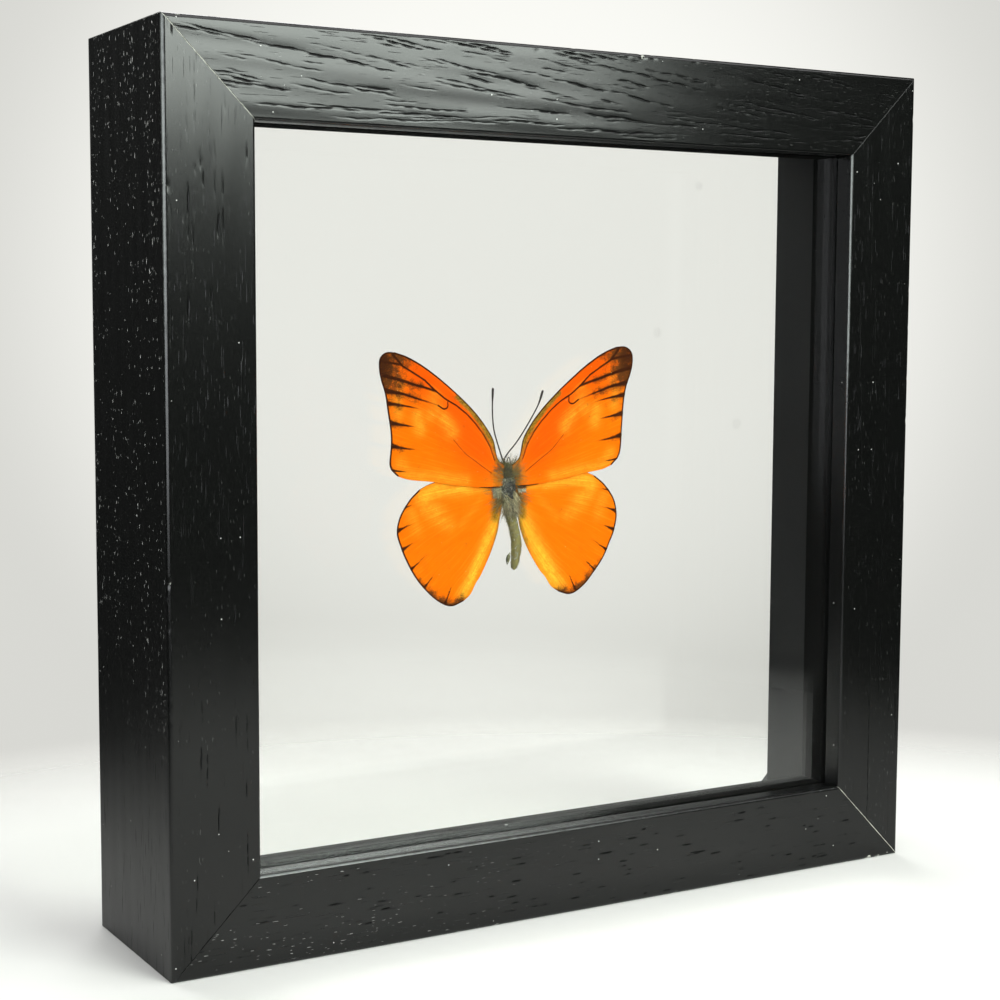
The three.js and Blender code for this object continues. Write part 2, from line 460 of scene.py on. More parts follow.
def grain_group():
    """Open-pored grain along U: fine pores where a long thin noise passes a level that drifts
    with the growth bands, fibres between them, and broader dashes that come in groups."""
    if "Open grain" in bpy.data.node_groups:
        return bpy.data.node_groups["Open grain"]
    group, given, made = new_group(
        "Open grain",
        [("Vector", "NodeSocketVector", None), ("Amount", "NodeSocketFloat", 0.5)],
        ["Pores", "Fibre", "Dashes"])
    vector = given.outputs["Vector"]
    fine = noise(group, stretched(group, vector, (130, 4300, 1)), 1.0, 1.0)
    bands = noise(group, stretched(group, vector, (9, 420, 1)), 1.0, 2.0)
    level = minus(group, 0.8, times(group, bands, given.outputs["Amount"]))
    over = minus(group, fine, level)
    group.links.new(band(group, over, 0.0, 0.07), made.inputs["Pores"])
    wide = noise(group, stretched(group, vector, (560, 4800, 1)), 1.0, 1.0)
    drift = noise(group, stretched(group, vector, (16, 120, 1)), 1.0, 1.0)
    limit = minus(group, 0.84, times(group, drift, 0.22))
    over = minus(group, wide, limit)
    group.links.new(band(group, over, 0.0, 0.03), made.inputs["Dashes"])
    fibre = noise(group, stretched(group, vector, (500, 9000, 1)), 1.0, 3.0, 0.6)
    group.links.new(fibre, made.inputs["Fibre"])
    return group


def speck_group():
    """Dust specks: the cores of a few Voronoi cells picked by their colour."""
    if "Dust specks" in bpy.data.node_groups:
        return bpy.data.node_groups["Dust specks"]
    group, given, made = new_group(
        "Dust specks",
        [("Vector", "NodeSocketVector", None), ("Scale", "NodeSocketFloat", 500.0),
         ("Share", "NodeSocketFloat", 0.1)],
        ["Specks"])
    cells = put(group, "TexVoronoi", Vector=given.outputs["Vector"], Scale=given.outputs["Scale"])
    pick = put(group, "SeparateColor", Color=cells.outputs["Color"]).outputs[0]
    chosen = sums(group, "LESS_THAN", pick, given.outputs["Share"])
    core = minus(group, 1.0, band(group, cells.outputs["Distance"], 0.06, 0.16))
    group.links.new(times(group, chosen, core), made.inputs["Specks"])
    return group


def use_group(tree, group, **inputs):
    """Places a shader group and sets or links its inputs."""
    made = tree.nodes.new("ShaderNodeGroup")
    made.node_tree = group
    fill(tree, made, inputs)
    return made


def new_material(name):
    """A material with a Principled shader and its output, and its node tree."""
    material = bpy.data.materials.new(name)
    material.use_nodes = True
    tree = material.node_tree
    tree.nodes.clear()
    shader = tree.nodes.new("ShaderNodeBsdfPrincipled")
    out = tree.nodes.new("ShaderNodeOutputMaterial")
    tree.links.new(shader.outputs[0], out.inputs["Surface"])
    return material, tree, shader


def set_shader(tree, shader, **inputs):
    """Sets or links the inputs of a Principled shader by name."""
    fill(tree, shader, inputs)


# ---------------------------------------------------------------- materials

def paint_material():
    """Black semi-gloss paint over open-pored wood: fine pores and fibres, specks of dust, pale
    dashes that are painted highlights on the pore walls, dark cracks whose cores carry painted
    shade, bare wood at worn edges and mitres, a bluish painted highlight along the arrises and a
    painted reflection on the bottom bar's lip, and outer sides that are more matt than the face."""
    part = settings("frame")
    material, tree, shader = new_material("black_paint_on_open_grain")
    uv = put(tree, "UVMap", {"uv_map": "UVMap"}).outputs[0]
    grain = use_group(tree, grain_group(), Vector=uv, Amount=0.23)
    pores, fibre, dashes = (grain.outputs[key] for key in ("Pores", "Fibre", "Dashes"))
    matt = attribute(tree, "matt")
    # Painted shade: dark colour laid into the cracks' cores, on a line along the bottom bar's lip,
    # and into the pores of the matt outer sides.
    painted_shade = sums(tree, "MAXIMUM", attribute(tree, "painted_shade"), times(tree, pores, matt))
    specks = use_group(tree, speck_group(), Vector=uv, Scale=850.0, Share=0.022).outputs[0]
    # Pale: dust specks, and dashes that are painted highlights on the pore walls of the outer
    # sides, with dust dashes on the bottom bar's face.
    pale = sums(tree, "MAXIMUM", times(tree, dashes, attribute(tree, "dust_and_glint_dashes")),
                times(tree, specks, 0.5))
    tone = mixed(tree, band(tree, fibre, 0.35, 0.7), rgba(np.array(part.paint) * 0.8),
                 rgba(np.array(part.paint) * 1.3))
    tone = mixed(tree, pale, tone, rgba(part.dust))
    chips = noise(tree, stretched(tree, uv, (700, 1100, 1)), 1.0, 3.0)
    loose = times(tree, minus(tree, chips, 0.5), 1.3)
    # Bluish painted highlight along the arrises and painted reflection on the bottom bar's lip,
    # broken up by noise.
    line = plus(tree, attribute(tree, "line"), times(tree, loose, 0.35))
    tone = mixed(tree, band(tree, line, 0.12, 0.9), tone, rgba(part.line))
    worn = band(tree, plus(tree, attribute(tree, "wear"), loose), 0.35, 0.6)
    tone = mixed(tree, worn, tone, rgba(part.bare_wood))
    tone = mixed(tree, painted_shade, tone, rgba(np.array(part.paint) * 0.25))
    rough = plus(tree, 0.135, times(tree, fibre, 0.08))
    rough = plus(tree, rough, times(tree, painted_shade, 0.3))
    rough = plus(tree, rough, times(tree, matt, 0.2))
    level = minus(tree, 0.37, times(tree, painted_shade, 0.34))
    height = minus(tree, times(tree, fibre, 0.03), pores)
    bump = put(tree, "Bump", Height=height, Strength=0.8, Distance=0.00007).outputs[0]
    set_shader(tree, shader, Base_Color=tone, Roughness=rough, Normal=bump,
               Specular_IOR_Level=level)
    return material


def strip_material(name, gloss, matt):
    """Smooth black strips with a finer grain, some dust specks and a faint drift in roughness:
    gloss is the strength of the reflection and matt the least roughness."""
    part = settings("frame")
    material, tree, shader = new_material(name)
    place = put(tree, "TexCoord").outputs["Object"]
    fine = noise(tree, place, 1800.0, 3.0, 0.6)
    drift = noise(tree, place, 60.0, 2.0)
    specks = use_group(tree, speck_group(), Vector=place, Scale=260.0, Share=0.03).outputs[0]
    tone = mixed(tree, band(tree, fine, 0.3, 0.7), rgba(np.array(part.strip) * 0.8),
                 rgba(np.array(part.strip) * 1.25))
    tone = mixed(tree, times(tree, specks, 0.5), tone, rgba(part.dust))
    rough = plus(tree, matt, times(tree, drift, 0.14))
    bump = put(tree, "Bump", Height=fine, Strength=0.25, Distance=0.00003).outputs[0]
    set_shader(tree, shader, Base_Color=tone, Roughness=rough, Normal=bump,
               Specular_IOR_Level=gloss)
    return material


def see_through(tree, shader, share, tint=(1, 1, 1)):
    """Makes a share of a shader clear, so that light passes straight through it."""
    out = next(n for n in tree.nodes if n.type == "OUTPUT_MATERIAL")
    clear = put(tree, "BsdfTransparent", Color=rgba(tint)).outputs[0]
    both = put(tree, "MixShader", _0=share, _1=shader.outputs[0], _2=clear).outputs[0]
    tree.links.new(both, out.inputs["Surface"])


def lamp_light(tree):
    """1 for the rays that look for a lamp, 0 for the others."""
    return put(tree, "LightPath").outputs["Is Shadow Ray"]


def glass_material():
    """Clear sheet glass with a faint green tint that drifts, and a few dust specks."""
    part = settings("frame")
    material, tree, shader = new_material("clear_sheet_glass")
    place = put(tree, "TexCoord").outputs["Object"]
    drift = noise(tree, place, 9.0, 2.0)
    tone = mixed(tree, drift, rgba(part.glass), rgba(np.array(part.glass) * 0.985))
    specks = use_group(tree, speck_group(), Vector=place, Scale=90.0, Share=0.02).outputs[0]
    tone = mixed(tree, times(tree, specks, 0.25), tone, (0.6, 0.6, 0.58, 1))
    set_shader(tree, shader, Base_Color=tone, Roughness=0.0, IOR=1.5, Transmission_Weight=1.0)
    see_through(tree, shader, lamp_light(tree), np.array(part.glass) * 0.93)
    return material


def glue_material():
    """Clear set glue, slightly milky and uneven."""
    part = settings("body")
    material, tree, shader = new_material("clear_set_glue")
    place = put(tree, "TexCoord").outputs["Object"]
    cloud = noise(tree, place, 700.0, 3.0)
    tone = mixed(tree, cloud, rgba(part.glue), rgba(np.array(part.glue) * 0.9))
    bump = put(tree, "Bump", Height=noise(tree, place, 900.0, 2.0), Strength=0.3,
               Distance=0.0002).outputs[0]
    set_shader(tree, shader, Base_Color=tone, Roughness=0.12, IOR=1.47,
               Transmission_Weight=1.0, Normal=bump)
    see_through(tree, shader, lamp_light(tree), np.array(part.glue) * 0.9)
    return material


def wing_material():
    """Matt scales: the ground colour with redder, yellow and olive zones, brown specks, dark
    veins and margins with ragged edges, and faint rays from the root."""
    part = settings("wings")
    material, tree, shader = new_material("wing_scales")
    place = put(tree, "TexCoord").outputs["Object"]
    uv = put(tree, "UVMap", {"uv_map": "UVMap"}).outputs[0]
    coarse = noise(tree, place, 700.0, 4.0, 0.65)
    fine = noise(tree, place, 3500.0, 3.0, 0.6)
    rays = noise(tree, stretched(tree, uv, (2.5, 75, 1)), 1.0, 3.0, 0.6)
    ragged = plus(tree, times(tree, coarse, 0.6), times(tree, fine, 0.4))

    def zone(name, spread, low=0.1, high=0.9):
        """A zone's mask with its edge broken up by the scales."""
        wobble = times(tree, minus(tree, ragged, 0.5), spread)
        return band(tree, plus(tree, attribute(tree, name), wobble), low, high)

    tone = mixed(tree, attribute(tree, "red"), rgba(part.orange), rgba(part.red))
    tone = mixed(tree, times(tree, band(tree, rays, 0.5, 0.75), 0.16), tone,
                 rgba(part.yellow))
    tone = mixed(tree, times(tree, band(tree, rays, 0.45, 0.25), 0.1), tone,
                 rgba(part.brown))
    broken = plus(tree, 0.55, times(tree, band(tree, ragged, 0.4, 0.6), 0.45))
    streaked = plus(tree, 0.5, times(tree, band(tree, rays, 0.38, 0.58), 0.5))
    pale = times(tree, times(tree, attribute(tree, "yellow"), broken), streaked)
    tone = mixed(tree, pale, tone, rgba(part.yellow))
    tone = mixed(tree, attribute(tree, "under"), tone, rgba(part.underside))
    olive = mixed(tree, band(tree, fine, 0.42, 0.6), rgba(np.array(part.olive) * 0.6),
                  rgba(np.array(part.olive) * 1.5))
    tone = mixed(tree, zone("olive", 1.2), tone, olive)
    tone = mixed(tree, zone("speck", 2.4), tone, rgba(np.array(part.brown) * (2.6, 3.0, 2.0)))
    tone = mixed(tree, zone("dark", 0.5, 0.15, 0.75), tone, rgba(part.brown))
    tone = mixed(tree, 0.14, tone, mixed(tree, fine, (0.2, 0.2, 0.2, 1), (1.6, 1.6, 1.6, 1)),
                 "MULTIPLY")
    glints = use_group(tree, speck_group(), Vector=place, Scale=1500.0, Share=0.05).outputs[0]
    tone = mixed(tree, times(tree, glints, 0.45), tone, (0.95, 0.72, 0.32, 1))
    bump = put(tree, "Bump", Height=plus(tree, fine, times(tree, rays, 0.8)),
               Strength=0.35, Distance=0.00006).outputs[0]
    set_shader(tree, shader, Base_Color=tone, Roughness=0.7, Normal=bump,
               Specular_IOR_Level=0.02)
    return material


def skin_material():
    """Mottled skin of thorax and abdomen: bare black on the thorax, olive rings behind, and pale
    flecks that are painted highlights.
    """
    part = settings("body")
    material, tree, shader = new_material("mottled_skin")
    place = put(tree, "TexCoord").outputs["Object"]
    blotch = noise(tree, place, 1300.0, 4.0, 0.65)
    tone = mixed(tree, band(tree, blotch, 0.4, 0.6), attribute(tree, "tint", "Color"),
                 mixed(tree, 0.45, attribute(tree, "tint", "Color"), rgba(part.skin)))
    # The palest flecks stand for the whitish glints on the bare skin: painted highlights.
    tone = mixed(tree, band(tree, blotch, 0.57, 0.66), tone, (0.4, 0.41, 0.35, 1))
    bump = put(tree, "Bump", Height=blotch, Strength=0.6, Distance=0.0002).outputs[0]
    rough = plus(tree, 0.35, times(tree, blotch, 0.4))
    set_shader(tree, shader, Base_Color=tone, Roughness=rough, Normal=bump)
    return material


def hair_material():
    """Fine hair, each with its own tint."""
    material, tree, shader = new_material("fine_hair")
    place = put(tree, "TexCoord").outputs["Object"]
    clump = noise(tree, place, 1600.0, 2.0)
    tone = mixed(tree, band(tree, clump, 0.35, 0.65), attribute(tree, "tint", "Color"),
                 mixed(tree, 1.0, attribute(tree, "tint", "Color"), (0.6, 0.6, 0.55, 1),
                       "MULTIPLY"))
    set_shader(tree, shader, Base_Color=tone, Roughness=0.55, Specular_IOR_Level=0.4,
               Sheen_Weight=0.2)
    return material


def horn_material():
    """Dark horn of antennae, palps and eyes, ringed along its length."""
    part = settings("body")
    material, tree, shader = new_material("dark_horn")
    uv = put(tree, "UVMap", {"uv_map": "UVMap"}).outputs[0]
    place = put(tree, "TexCoord").outputs["Object"]
    rings = put(tree, "TexWave", {"wave_type": "BANDS", "bands_direction": "X"}, Vector=uv,
                Scale=14.0, Distortion=0.3).outputs[1]
    mottle = noise(tree, place, 2500.0, 2.0)
    tone = mixed(tree, times(tree, rings, mottle), rgba(part.horn),
                 rgba(np.array(part.horn) * 3.0))
    bump = put(tree, "Bump", Height=rings, Strength=0.4, Distance=0.00005).outputs[0]
    set_shader(tree, shader, Base_Color=tone, Roughness=0.45, Normal=bump)
    return material


# ---------------------------------------------------------------- frame shapes

def bar_section(corners):
    """Closed outline of a bar's section in (inset, depth). Each corner is (inset, depth,
    radius, step): an arc of five points rounds it and the stretch after it is cut in steps.
    Returns the points, their outward directions and the distance round the outline."""
    places = np.array([c[:2] for c in corners], float)
    outline = []
    for i, (_, _, radius, step) in enumerate(corners):
        here, ahead = places[i], places[(i + 1) % len(corners)]
        arriving = here - places[i - 1]
        arriving = arriving / np.linalg.norm(arriving)
        leaving = (ahead - here) / np.linalg.norm(ahead - here)
        centre = here - radius * arriving + radius * leaving
        turn = np.linspace(0, math.pi / 2, 5)[:, None]
        outline.append(centre - radius * leaving * np.cos(turn) + radius * arriving * np.sin(turn))
        far = ahead - leaving * corners[(i + 1) % len(corners)][2]
        near = here + radius * leaving
        parts = max(2, round(float(np.linalg.norm(far - near)) / step))
        outline.append(near + (far - near) * np.linspace(0, 1, parts + 1)[1:-1, None])
    points = np.vstack(outline)
    tangent = np.roll(points, -1, axis=0) - np.roll(points, 1, axis=0)
    tangent /= np.linalg.norm(tangent, axis=1)[:, None]
    outward = np.stack([tangent[:, 1], -tangent[:, 0]], axis=1)
    around = np.concatenate([[0], np.cumsum(np.linalg.norm(np.diff(points, axis=0), axis=1))])
    return points, outward, around


def mitred_bar(section, stations, gap, relief=None):
    """A section carried along the bottom side of the frame, each point's reach shortened by its
    inset so that both ends are mitred, then pushed in by relief(along, section points).
    Returns points, faces and UV in metres."""
    outline, outward, around = section
    edge = np.array([1.0, 0.9984])
    share = np.concatenate([-edge, np.linspace(-0.994, 0.994, stations), edge[::-1]])
    reach = HALF - outline[:, 0] - gap
    along = share[:, None] * reach[None]
    pushed = np.broadcast_to(outline, (len(share), *outline.shape)).copy()
    if relief is not None:
        pushed -= outward[None] * relief(along, outline)[..., None]
    points = np.stack([along, FRONT_Y + pushed[..., 1], pushed[..., 0] - HALF], axis=-1)
    count = len(outline)
    ends = [np.arange(count)[None, ::-1], np.arange(count)[None] + (len(share) - 1) * count]
    faces = [grid_faces(len(share), count, closed=True), *ends]
    uv = np.stack([along, np.broadcast_to(around, along.shape)], axis=-1).reshape(-1, 2) * MM
    return points.reshape(-1, 3), faces, uv


def turn_to_side(points, side):
    """Turns a piece made on the bottom side by quarter turns about the frame's middle."""
    x, y, z = points.T
    for _ in range(SIDES.index(side)):
        x, z = z, -x
    return np.stack([x, y, z + HALF], axis=1)


# Open grain of each bar: number of cracks, their lengths, their slope where the grain rises,
# how far they waver, the half-width of their core of painted shade, their share of the full
# depth, which end has a pale mitre line, and the number of rings that the bar is made of.
GRAIN = {
    "bottom": {"count": 150, "length": (1.5, 6), "slope": 0.01, "waver": 0.04, "core": 0.17,
               "depth": 0.35, "pale_end": 1, "stations": 240},
    "left": {"count": 70, "length": (3, 14), "slope": -0.01, "waver": 0.06, "core": 0.12,
             "depth": 0.8, "pale_end": -1, "stations": 240},
    "top": {"count": 120, "length": (5, 32), "slope": -0.14, "waver": 0.13, "core": 0.1,
            "depth": 1.0, "pale_end": 1, "stations": 330},
    "right": {"count": 34, "length": (10, 40), "slope": 0.006, "waver": 0.03, "core": 0.11,
              "depth": 0.3, "pale_end": -1, "stations": 168},
}


def crack_field(rng, along, across, grain):
    """Depth share of the open grain, and the mask of the painted shade in its core. Each crack is a
    jagged line with its own start, length and lean, broken into dashes; its section falls away
    slowly on the outer side and steeply on the inner side. The lean grows towards the outer edge of
    the bar."""
    field = np.zeros(along.shape)
    core = np.zeros(along.shape)
    for _ in range(grain["count"]):
        length = rng.uniform(*grain["length"]) * rng.uniform(0.5, 1)
        start = rng.uniform(-HALF, HALF - length)
        middle = rng.uniform(0.8, FACE_WIDTH - 0.9)
        lean = grain["slope"] * ease(FACE_WIDTH - middle, 3, 9) + rng.normal(0, 0.014)
        wobble = np.sin(along / rng.uniform(1.2, 3.0) + rng.uniform(0, 6))
        wobble = wobble + 0.4 * np.sin(along / rng.uniform(0.35, 0.6) + rng.uniform(0, 6))
        line = middle + lean * (along - start - length / 2) + grain["waver"] * wobble
        side = across - line
        soft = np.exp(-(side / np.where(side < 0, rng.uniform(0.35, 0.8), 0.17)) ** 2)
        share = np.clip((along - start) / length, 0, 1)
        dash = ease(np.sin(along / rng.uniform(0.4, 1.3) + rng.uniform(0, 6)), -0.8, 0.3)
        fade = (4 * share * (1 - share)) ** 0.6 * rng.uniform(0.25, 1) ** 1.5
        sharp = fade * (0.3 + 0.7 * dash) * np.exp(-(side / grain["core"]) ** 2)
        field = np.maximum(field, np.maximum(sharp, 0.09 * fade * soft))
        core = np.maximum(core, sharp)
    return field, core


def make_rail(side, material):
    """One bar: an L section with rounded arrises, open grain cut into its face, a slightly
    uneven surface, and small chips along its outer front edge."""
    part = settings("frame")
    grain = GRAIN[side]
    rng = np.random.default_rng(11 + SIDES.index(side))
    section = bar_section([
        (0, 0, part.arris / MM, 0.107), (FACE_WIDTH, 0, part.inner_arris / MM, 0.45),
        (FACE_WIDTH, LIP_DEPTH, 0.15, 2.8), (WALL, LIP_DEPTH, 0.1, 4.0),
        (WALL, DEPTH, 0.4, 0.8), (0, DEPTH, 0.7, 0.8),
    ])
    masks = {}

    def relief(along, outline):
        """How far each point is pushed in, in millimetres. Also sets the masks of the paint:
        painted shade in the cracks' cores and on the bottom bar's lip, a bluish painted highlight
        along the arrises with a painted reflection on the lip, wear, matt sides, and pale dashes
        that are painted highlights on the pore walls of the outer sides and dust on the bottom
        bar's face."""
        inset = np.broadcast_to(outline[:, 0], along.shape)
        depth = np.broadcast_to(outline[:, 1], along.shape)
        on_face = (depth < 0.05) * ease(inset, 0.5, 1.2) * (1 - ease(inset, 17.0, 17.6))
        cracks, core = crack_field(rng, along, inset, grain)
        spots = np.stack([along * 0.12, inset + depth], axis=-1)
        uneven = 0.02 * ripple(rng, spots, 5.0)
        arris = np.exp(-((inset + depth) / 0.9) ** 2) * (depth < 2) * (inset < 2)
        chipped = ripple(rng, spots * (8, 1), 2.6) * ripple(rng, spots * (8, 1), 9.0)
        chipped = np.clip(chipped - 0.3, 0, 1)
        # Painted shade: a dark line on the bottom bar's lip just behind its inner arris; with the
        # cracks' dark cores it makes the shade mask of the paint.
        shade = (side == "bottom") * (inset > 18) * np.exp(-((depth - 1.0) / 0.3) ** 2)
        masks["painted_shade"] = np.maximum(np.clip(1.3 * core, 0, 1) * on_face, 0.9 * shade).ravel()
        ends = np.abs(along) > HALF - inset - 0.12
        pale = ends * (np.sign(along) == grain["pale_end"]) * (depth < 0.4) * (inset > 0.2)
        # Painted highlights: the bluish light caught along the inner arris of the right and bottom
        # bars and the front arris of the left bar, fading along each bar, and a painted reflection
        # on the bottom bar's lip.
        inner_gap = FACE_WIDTH - inset + depth - 0.29
        inner = np.exp(-(inner_gap / 0.09) ** 2) * (depth < 0.6) * (inset > 16)
        crest_highlight = np.exp(-((inset + depth - 0.47) / 0.13) ** 2) * (depth < 1) * (inset < 1)
        lip = 0.5 * (depth > 1.5) * (depth < 4.9) * (inset > 17.5) * ease(-along, -30, 60)
        edge_highlight = {"left": crest_highlight * (0.1 + 0.65 * ease(-along, -5, 75)),
                  "right": 0.8 * inner * ease(along, 5, 35),
                  "bottom": lip + inner * (0.25 + 0.65 * ease(-along, -40, 80))}
        masks["line"] = np.broadcast_to(edge_highlight.get(side, 0.0), along.shape).ravel()
        masks["wear"] = (pale * 0.62 + ends * (depth < 0.5) * 0.1
                         + arris * (chipped + 0.1)).ravel()
        outer_side = (inset < 0.5) * (depth > 0.5)
        masks["matt"] = outer_side.ravel()
        # Pale dashes: on the outer sides they are painted highlights on the pore walls, brighter up
        # the left bar; on the bottom bar's face they are dust towards its left end.
        fade = ease(-along, -60, 5) if side == "left" else 0.5
        face = 0.3 * ease(-along, -30, 80) if side == "bottom" else 0.05
        masks["dust_and_glint_dashes"] = (outer_side * (0.05 + 0.95 * fade) + on_face * face).ravel()
        open_grain = cracks * on_face * grain["depth"] * part.crack_depth / MM
        return open_grain + uneven + 0.3 * arris * chipped

    points, faces, uv = mitred_bar(section, grain["stations"], part.mitre_gap / MM, relief)
    build_piece(f"bar_{side}", turn_to_side(points, side), faces, material,
                [f"rail_{side}"], masks, uv)


def make_strip(name, side, inset, depths, thickness, material):
    """A plain mitred strip with softened edges."""
    near, far = depths
    section = bar_section([
        (inset, near, 0.15, 2.0), (inset + thickness, near, 0.25, 1.0),
        (inset + thickness, far, 0.25, 2.0), (inset, far, 0.15, 3.0),
    ])
    points, faces, uv = mitred_bar(section, 12, 0.03)
    build_piece(f"{name}_strip_{side}", turn_to_side(points, side), faces,
                material, [f"{name}_{side}"], None, uv)


# ---------------------------------------------------------------- wing shapes

# A right-hand wing in millimetres from the wing root, x outwards and y up. Its four edges are
# curves; each vein is (width at its inner end, width at the margin, strength at its inner end,
# points from the inside out); each faint vein is (width, strength, points); each patch is (zone,
# strength, radius, points of its middle line). Margin is the width of the dark outer line, edge
# the width of the dark front line at the root and at the tip, and smoke the least and greatest
# width of the suffusion and the heights between which it widens.
FOREWING = {
    "lead": [(1.0, 3.0), (2.8, 4.6), (3.9, 8.6), (6.1, 11.9), (9.4, 15.6), (13.3, 19.1),
             (17.3, 22.2), (21.6, 25.1), (25.4, 27.1), (28.4, 28.1)],
    "outer": [(28.4, 28.1), (30.6, 28.1), (32.1, 27.0), (32.4, 25.0), (31.9, 22.2), (30.9, 19.2),
              (30.1, 15.2), (29.6, 10.7), (29.3, 6.6), (28.6, 3.6), (26.8, 1.6)],
    "trail": [(1.0, -1.3), (4.2, -1.9), (9.7, -1.4), (14.6, -0.8), (19.8, 0.1), (24.2, 0.7),
              (26.8, 1.6)],
    "base": [(1.0, 3.0), (1.0, -1.3)],
    "veins": [
        (0.2, 0.3, 0.66, [(3.6, 4.2), (4.9, 7.4), (7.2, 10.8), (9.9, 13.6), (12.4, 15.9),
                          (15.6, 17.6), (18.6, 19.7), (20.9, 21.8), (24.1, 23.7), (26.9, 25.3),
                          (28.9, 27.6)]),
        (0.36, 0.62, 0.8, [(18.6, 19.7), (20.9, 20.4), (24.0, 21.2), (27.3, 22.2), (32.0, 23.4)]),
        (0.32, 0.5, 0.7, [(26.8, 25.3), (29.1, 25.8), (32.2, 26.2)]),
        (0.2, 0.2, 0.75, [(15.6, 17.4), (15.6, 16.2), (16.6, 15.8), (18.0, 16.6)]),
        (0.28, 0.8, 0.4, [(18.0, 16.6), (20.2, 17.3), (24.0, 18.4), (27.0, 19.3), (31.1, 20.0)]),
        (0.2, 0.75, 0.0, [(20.3, 15.4), (23.8, 16.2), (27.0, 16.8), (30.6, 17.3)]),
        (0.2, 0.85, 0.0, [(21.8, 11.8), (25.0, 12.3), (29.8, 13.1)]),
        (0.2, 0.85, 0.0, [(21.2, 7.1), (25.0, 7.4), (29.4, 8.2)]),
        (0.16, 0.4, 0.0, [(23.6, 2.4), (26.6, 2.7), (28.4, 3.0)]),
        # The last vein runs along the inner margin at the root; its darkness is partly vein and
        # partly painted shadow of the gap under the forewing's edge.
        (0.2, 0.05, 0.9, [(2.8, -1.75), (5.0, -1.8), (7.6, -1.6)]),
    ],
    "faint": [
        (0.15, 0.6, [(4.4, 1.4), (8.6, 4.2), (11.4, 6.2), (14.1, 9.0)]),
        (0.14, 0.3, [(14.1, 9.0), (16.0, 11.0), (17.4, 14.0)]),
        (0.14, 0.3, [(12.0, 15.8), (15.2, 19.4)]),
        (0.14, 0.22, [(11.4, 6.2), (16.0, 7.0), (21.2, 7.1)]),
        (0.14, 0.2, [(5.0, 1.2), (12.0, 1.8), (19.0, 2.2), (23.6, 2.4)]),
    ],
    "patches": [
        ("red", 0.9, 6.5, [(7.0, 6.5), (12.0, 12.5), (15.0, 19.5), (22.0, 24.0)]),
        ("red", 0.5, 3.0, [(24.0, 20.0), (27.0, 21.0)]),
        ("yellow", 0.62, 1.6, [(16.6, 13.6), (14.4, 10.8)]),
        ("yellow", 0.62, 1.5, [(23.0, 14.4), (22.4, 11.6)]),
        ("yellow", 0.4, 1.8, [(20.0, 14.5), (18.0, 15.4), (19.0, 18.4)]),
        ("yellow", 0.4, 1.3, [(27.5, 21.0), (28.0, 18.2), (27.6, 14.8)]),
        ("yellow", 0.5, 1.3, [(26.5, 4.5), (24.0, 1.8), (18.0, 0.8), (11.0, 0.0)]),
        ("speck", 0.62, 1.1, [(31.0, 23.0), (26.0, 21.6), (22.5, 20.7)]),
        ("speck", 0.62, 1.2, [(30.5, 19.6), (26.0, 18.8), (23.0, 18.0)]),
        ("speck", 0.5, 1.0, [(30.5, 16.9), (27.0, 16.6)]),
        ("speck", 0.5, 0.9, [(29.4, 12.7), (27.0, 12.4)]),
        ("speck", 0.5, 0.9, [(29.0, 7.7), (26.6, 7.4)]),
        ("dark", 0.6, 2.6, [(31.2, 27.2), (31.0, 24.4)]),
        ("speck", 0.95, 4.2, [(30.6, 26.6), (30.4, 22.0)]),
        ("olive", 0.95, 0.75, [(2.4, 4.2), (3.8, 7.8), (6.2, 11.2), (9.4, 14.9), (13.0, 18.3)]),
        ("olive", 0.6, 1.1, [(2.6, 3.6), (4.3, 7.6), (6.6, 10.8)]),
        ("olive", 0.62, 2.6, [(1.6, 2.0), (2.6, 0.6), (2.2, -1.0)]),
        ("olive", 0.25, 2.4, [(4.0, -0.6), (5.5, -0.4)]),
    ],
    "margin": 0.34, "edge": (0.14, 0.4), "smoke": (1.2, 5.2, 8.0, 27.0),
}
